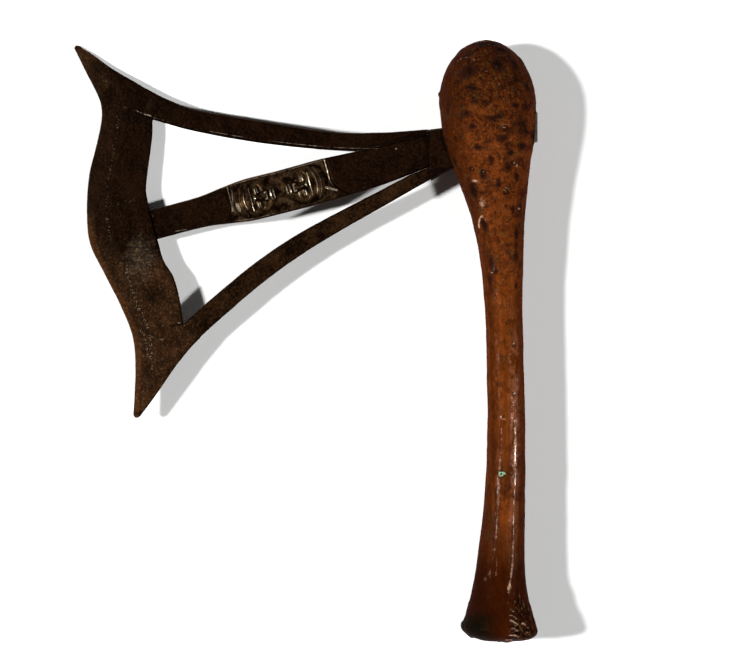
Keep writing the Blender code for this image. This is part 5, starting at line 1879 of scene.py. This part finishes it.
class AXE_PG_haft(bpy.types.PropertyGroup):
    """Sizes and colours of the copper-sheathed haft."""

    dents: FloatProperty(name="Dents and folds", description="Strength of the sheet's dents and folds",
                         default=1.35, min=0.0, max=2.0, subtype="FACTOR")
    blow_depth: size_property("Blow depth", "Depth of the hammer's blows", 0.16)
    blow_size: size_property("Blow size", "Distance between the hammer's blows", 6.5)
    wave_depth: size_property("Wave depth", "Depth of the sheet's broad unevenness", 0.65)
    crease_depth: size_property("Crease depth", "Height of the fine creases in the sheet", 0.4)
    head_colour: colour_property("Head", "Patinated copper of the head", (0.12, 0.0272, 0.0046))
    grip_colour: colour_property("Grip", "Handled copper of the grip", (0.132, 0.029, 0.0036))
    fleck_colour: colour_property("Flecks", "Bright flecks along the sheet", (0.215, 0.062, 0.016))
    warm_colour: colour_property("Warm", "Brighter clouds in the patina", (0.172, 0.04, 0.0072))
    brown_colour: colour_property("Brown", "Darker clouds in the patina", (0.032, 0.007, 0.0011))
    halo_colour: colour_property("Stain edges", "Purple brown round the stains", (0.022, 0.0066, 0.0036))
    olive_colour: colour_property("Olive", "Olive spots in the patina", (0.05, 0.034, 0.012))
    gold_colour: colour_property("Gold", "Olive gold on rubbed places", (0.092, 0.052, 0.015))
    stain_colour: colour_property("Stains", "Purple-black stains", (0.0112, 0.0034, 0.0022))
    # Dirt, and painted shade in creases and hollows
    dirt_and_shade_colour: colour_property("Creases", "Dirt in the creases", (0.0034, 0.0017, 0.001))
    butt_colour: colour_property("Butt", "Dark patina of the butt", (0.018, 0.0024, 0.0002))
    green_colour: colour_property("Dark green", "Dark green patina", (0.0014, 0.0028, 0.0012))
    # Bare copper on worn edges, and painted highlights
    worn_and_lit_colour: colour_property("Worn", "Bare copper on worn edges", (0.45, 0.26, 0.17))
    # Painted highlight
    glint_colour: colour_property("Glints", "Bright metal that catches the light", (0.52, 0.315, 0.21))
    verdigris_colour: colour_property("Verdigris", "Spot of verdigris", (0.21, 0.3, 0.19))
    sheen_colour: colour_property("Sheen", "Tint of the copper's sheen seen aslant", (0.6, 0.22, 0.08))


class AXE_PG_blade(bpy.types.PropertyGroup):
    """Sizes and colours of the forged blade."""

    blow_depth: size_property("Blow depth", "Depth of the hammer's blows", 0.12)
    blow_size: size_property("Blow size", "Distance between the hammer's blows", 8.0)
    wave_depth: size_property("Wave depth", "Depth of the iron's broad unevenness", 0.25)
    grain_depth: size_property("Grain depth", "Depth of the iron's fine grain", 0.07)
    pit_depth: size_property("Pit depth", "Depth of the pits in the iron", 0.12)
    ring_spacing: size_property("Ring spacing", "Distance from one punched ring to the next", 2.7)
    ring_diameter: size_property("Ring diameter", "Diameter of a punched ring", 1.6)
    upper_lap: size_property("Upper lap", "Length of the upper strut's ledge over the plate", 13.0)
    lower_lap: size_property("Lower lap", "Length of the lower strut's ledge over the plate", 5.0)
    skin_colour: colour_property("Skin", "Dark skin of the iron", (0.002, 0.0007, 0.0003))
    iron_colour: colour_property("Iron", "Iron between the darker clouds", (0.0078, 0.0025, 0.0009))
    brown_colour: colour_property("Brown", "Thin brown rust", (0.027, 0.0122, 0.0045))
    rust_colour: colour_property("Rust", "Orange rust", (0.078, 0.025, 0.007))
    patch_colour: colour_property("Pale patch", "Rough pale patch of the plate", (0.046, 0.038, 0.03))
    sand_colour: colour_property("Specks", "Fine pale specks in the rust", (0.17, 0.115, 0.06))
    carved_colour: colour_property("Carving", "Brown of the carved part", (0.052, 0.029, 0.013))
    sheen_colour: colour_property("Sheen", "Tint of the oiled skin's sheen", (1.0, 0.62, 0.36))
    # Bright metal on the carving, and painted highlights
    worn_and_lit_colour: colour_property("Worn", "Bright metal on the carving", (0.56, 0.46, 0.33))


class AXE_PG_stage(bpy.types.PropertyGroup):
    """The floor, the lights and the camera."""

    floor_colour: colour_property("Floor", "Plain pale floor", (0.94, 0.94, 0.935))
    main_light: light_property("Main light", "Strength of the light from the left", 4.6)
    cross_light: light_property("Cross light", "Strength of the light from the lower right", 2.0)
    low_light: light_property("Low light", "Strength of the low light from the right", 0.18)
    ring_light: light_property("Ring light", "Brightness of the ring of soft light around", 0.07)
    camera_height: size_property("Camera height", "Height of the camera over the floor", 3000.0)
    camera_width: size_property("View width", "Width of what the camera sees", 500.0)


# ---- operators


def keep(item, material, node):
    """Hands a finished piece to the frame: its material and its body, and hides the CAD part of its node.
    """
    item.data.materials.clear()
    item.data.materials.append(material)
    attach(item, BODY)
    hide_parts(node)


def shade(item, angle):
    """Smooth shading, but for edges sharper than an angle in degrees."""
    item.data.shade_smooth()
    item.data.set_sharp_from_angle(angle=math.radians(angle))


def finish_iron(item, cutters=()):
    """Makes a beaten iron piece its plain mesh, without its cutters, and shades and paints it."""
    settle(item, cutters)
    shade(item, IRON_CREASE)
    paint_iron(item)
    paint_hollows(item, *IRON_HOLLOWS)


class AXE_OT_haft(bpy.types.Operator):
    """Make the copper-sheathed haft"""

    bl_idname = "axe.haft"
    bl_label = "Haft"
    bl_options = {"REGISTER", "UNDO"}

    def execute(self, context):
        settings = context.scene.axe_haft
        material = copper_finish(settings)
        haft = new_object("sheathed_haft", make_haft_mesh(settings.dents))
        beat(haft, material, settings, COPPER_LAYERS, COPPER_SEED)
        slot = cut(haft, room_in_haft(*central_parts()[1:]))
        settle(haft, (slot,))
        shade(haft, COPPER_CREASE)
        paint_haft(haft)
        paint_hollows(haft, *COPPER_HOLLOWS)
        keep(haft, material, "haft")
        return {"FINISHED"}


class AXE_OT_plate(bpy.types.Operator):
    """Make the cutting plate with its horns and punched rings"""

    bl_idname = "axe.plate"
    bl_label = "Cutting plate"
    bl_options = {"REGISTER", "UNDO"}

    def execute(self, context):
        settings = context.scene.axe_blade
        material = iron_finish("plate_iron", settings, BROWN["plate"])
        plate = new_object("horned_plate", ribbon("plate", *plate_outline(), plate_rows, plate_shape))
        beat(plate, material, settings, IRON_LAYERS, IRON_SEED)
        cutters = [cut(plate, room_behind()), cut(plate, lower_slit())]
        path = ring_path()
        punch(plate, path, material, settings)
        finish_iron(plate, (*cutters, path))
        keep(plate, material, "cutting_blade")
        return {"FINISHED"}


class AXE_OT_side_struts(bpy.types.Operator):
    """Make the upper and the lower strut"""

    bl_idname = "axe.side_struts"
    bl_label = "Side struts"
    bl_options = {"REGISTER", "UNDO"}

    def execute(self, context):
        settings = context.scene.axe_blade
        for name, curves, ledge in (("upper", UPPER_CURVES, settings.upper_lap),
                                    ("lower", LOWER_CURVES, settings.lower_lap)):
            material = iron_finish(name + "_strut_iron", settings, BROWN[name])
            strut = new_object(name + "_bar", make_strut_mesh(name, curves, ledge / MM))
            beat(strut, material, settings, IRON_LAYERS, IRON_SEED)
            finish_iron(strut, (cut(strut, room_beside(*central_parts()[1:])),))
            keep(strut, material, name + "_strut")
        return {"FINISHED"}


class AXE_OT_central_strut(bpy.types.Operator):
    """Make the central strut with its carving, block and tang"""

    bl_idname = "axe.central_strut"
    bl_label = "Central strut"
    bl_options = {"REGISTER", "UNDO"}

    def execute(self, context):
        settings = context.scene.axe_blade
        material = iron_finish("central_strut_iron", settings, BROWN["central"])
        strut = new_object("carved_bar", central_parts()[0])
        beat(strut, material, settings, IRON_LAYERS, IRON_SEED, CARVED_BEATING)
        finish_iron(strut)
        keep(strut, material, "central_strut")
        return {"FINISHED"}


class AXE_OT_stage(bpy.types.Operator):
    """Make the floor, the lights and the camera"""

    bl_idname = "axe.stage"
    bl_label = "Stage"
    bl_options = {"REGISTER", "UNDO"}

    def execute(self, context):
        settings = context.scene.axe_stage
        make_floor(settings)
        for name, (azimuth, elevation, width) in LIGHTS.items():
            make_light(name, azimuth, elevation, width, getattr(settings, name))
        make_surroundings(context.scene, settings)
        make_camera(context.scene, settings)
        return {"FINISHED"}


def make_floor(settings):
    """A wide pale floor under the axe."""
    half = FLOOR_HALF
    data = bpy.data.meshes.new("floor")
    data.from_pydata([(-half, -half, 0.0), (half, -half, 0.0), (half, half, 0.0), (-half, half, 0.0)],
                     [], [(0, 1, 2, 3)])
    floor = new_object("floor", data)
    paper = Finish("pale_floor", settings.floor_colour)
    data.materials.append(paper.finish(Roughness=0.75, Specular_IOR_Level=0.2))


def make_light(name, azimuth, elevation, width, strength):
    """A far soft light from an azimuth counted from +X towards +Y."""
    data = bpy.data.lights.new(name, "SUN")
    data.energy = strength
    data.angle = math.radians(width)
    turn, rise = math.radians(azimuth), math.radians(elevation)
    towards = Vector((math.cos(turn) * math.cos(rise), math.sin(turn) * math.cos(rise), math.sin(rise)))
    light = new_object(name, data)
    light.location = towards
    light.rotation_mode = "QUATERNION"
    light.rotation_quaternion = towards.to_track_quat("Z", "Y")


def make_surroundings(scene, settings):
    """A ring of soft light around the stage, dark overhead, with pale walls low around the floor."""
    world = bpy.data.worlds.new("studio")
    world.use_nodes = True
    tree = Tree(world.node_tree)
    direction = tree.add("ShaderNodeTexCoord", output="Generated")
    height = tree.add("ShaderNodeSeparateXYZ", values={0: direction}, output="Z")
    wall = tree.mask(height, WALL_TOP, WALL_TOP * WALL_SOLID) * WALL
    ring = tree.mask(height, *RING_FOOT) * tree.mask(height, *RING_TOP) * settings.ring_light
    background = tree.add("ShaderNodeBackground", values={"Strength": wall + ring + OVERHEAD})
    tree.add("ShaderNodeOutputWorld", values={"Surface": background})
    scene.world = world
    scene.view_settings.view_transform = "Standard"


def make_camera(scene, settings):
    """A long-lensed camera that looks straight down."""
    data = bpy.data.cameras.new("camera")
    data.sensor_width = SENSOR
    data.lens = SENSOR * (settings.camera_height - VIEW_PLANE * MM) / settings.camera_width
    data.clip_end = FLOOR_HALF * 4
    camera = new_object("camera", data)
    camera.location = drawing_origin() + Vector((*VIEW_MIDDLE, settings.camera_height / MM)) * MM
    scene.camera = camera


class AXE_PT_pieces(bpy.types.Panel):
    """Lists the operators of the axe"""

    bl_idname = "AXE_PT_pieces"
    bl_label = "Prestige axe"
    bl_space_type = "VIEW_3D"
    bl_region_type = "UI"
    bl_category = "Axe"

    def draw(self, context):
        scene = context.scene
        for settings, operators in ((scene.axe_haft, (AXE_OT_haft,)),
                                    (scene.axe_blade, (AXE_OT_plate, AXE_OT_side_struts,
                                                       AXE_OT_central_strut)),
                                    (scene.axe_stage, (AXE_OT_stage,))):
            box = self.layout.box()
            for operator in operators:
                box.operator(operator.bl_idname)
            for name in settings.__annotations__:
                box.prop(settings, name)


CLASSES = (AXE_PG_haft, AXE_PG_blade, AXE_PG_stage, AXE_OT_haft, AXE_OT_plate, AXE_OT_side_struts,
           AXE_OT_central_strut, AXE_OT_stage, AXE_PT_pieces)
SETTINGS = {"axe_haft": AXE_PG_haft, "axe_blade": AXE_PG_blade, "axe_stage": AXE_PG_stage}


def register():
    """Registers the classes and puts their settings on the scene."""
    for item in CLASSES:
        bpy.utils.register_class(item)
    for name, group in SETTINGS.items():
        setattr(bpy.types.Scene, name, PointerProperty(type=group))


def unregister():
    """Takes the settings and the classes away again."""
    for name in SETTINGS:
        delattr(bpy.types.Scene, name)
    for item in reversed(CLASSES):
        bpy.utils.unregister_class(item)


def main():
    register()
    bpy.ops.axe.haft()
    bpy.ops.axe.plate()
    bpy.ops.axe.side_struts()
    bpy.ops.axe.central_strut()
    bpy.ops.axe.stage()


if __name__ == "__main__":
    main()
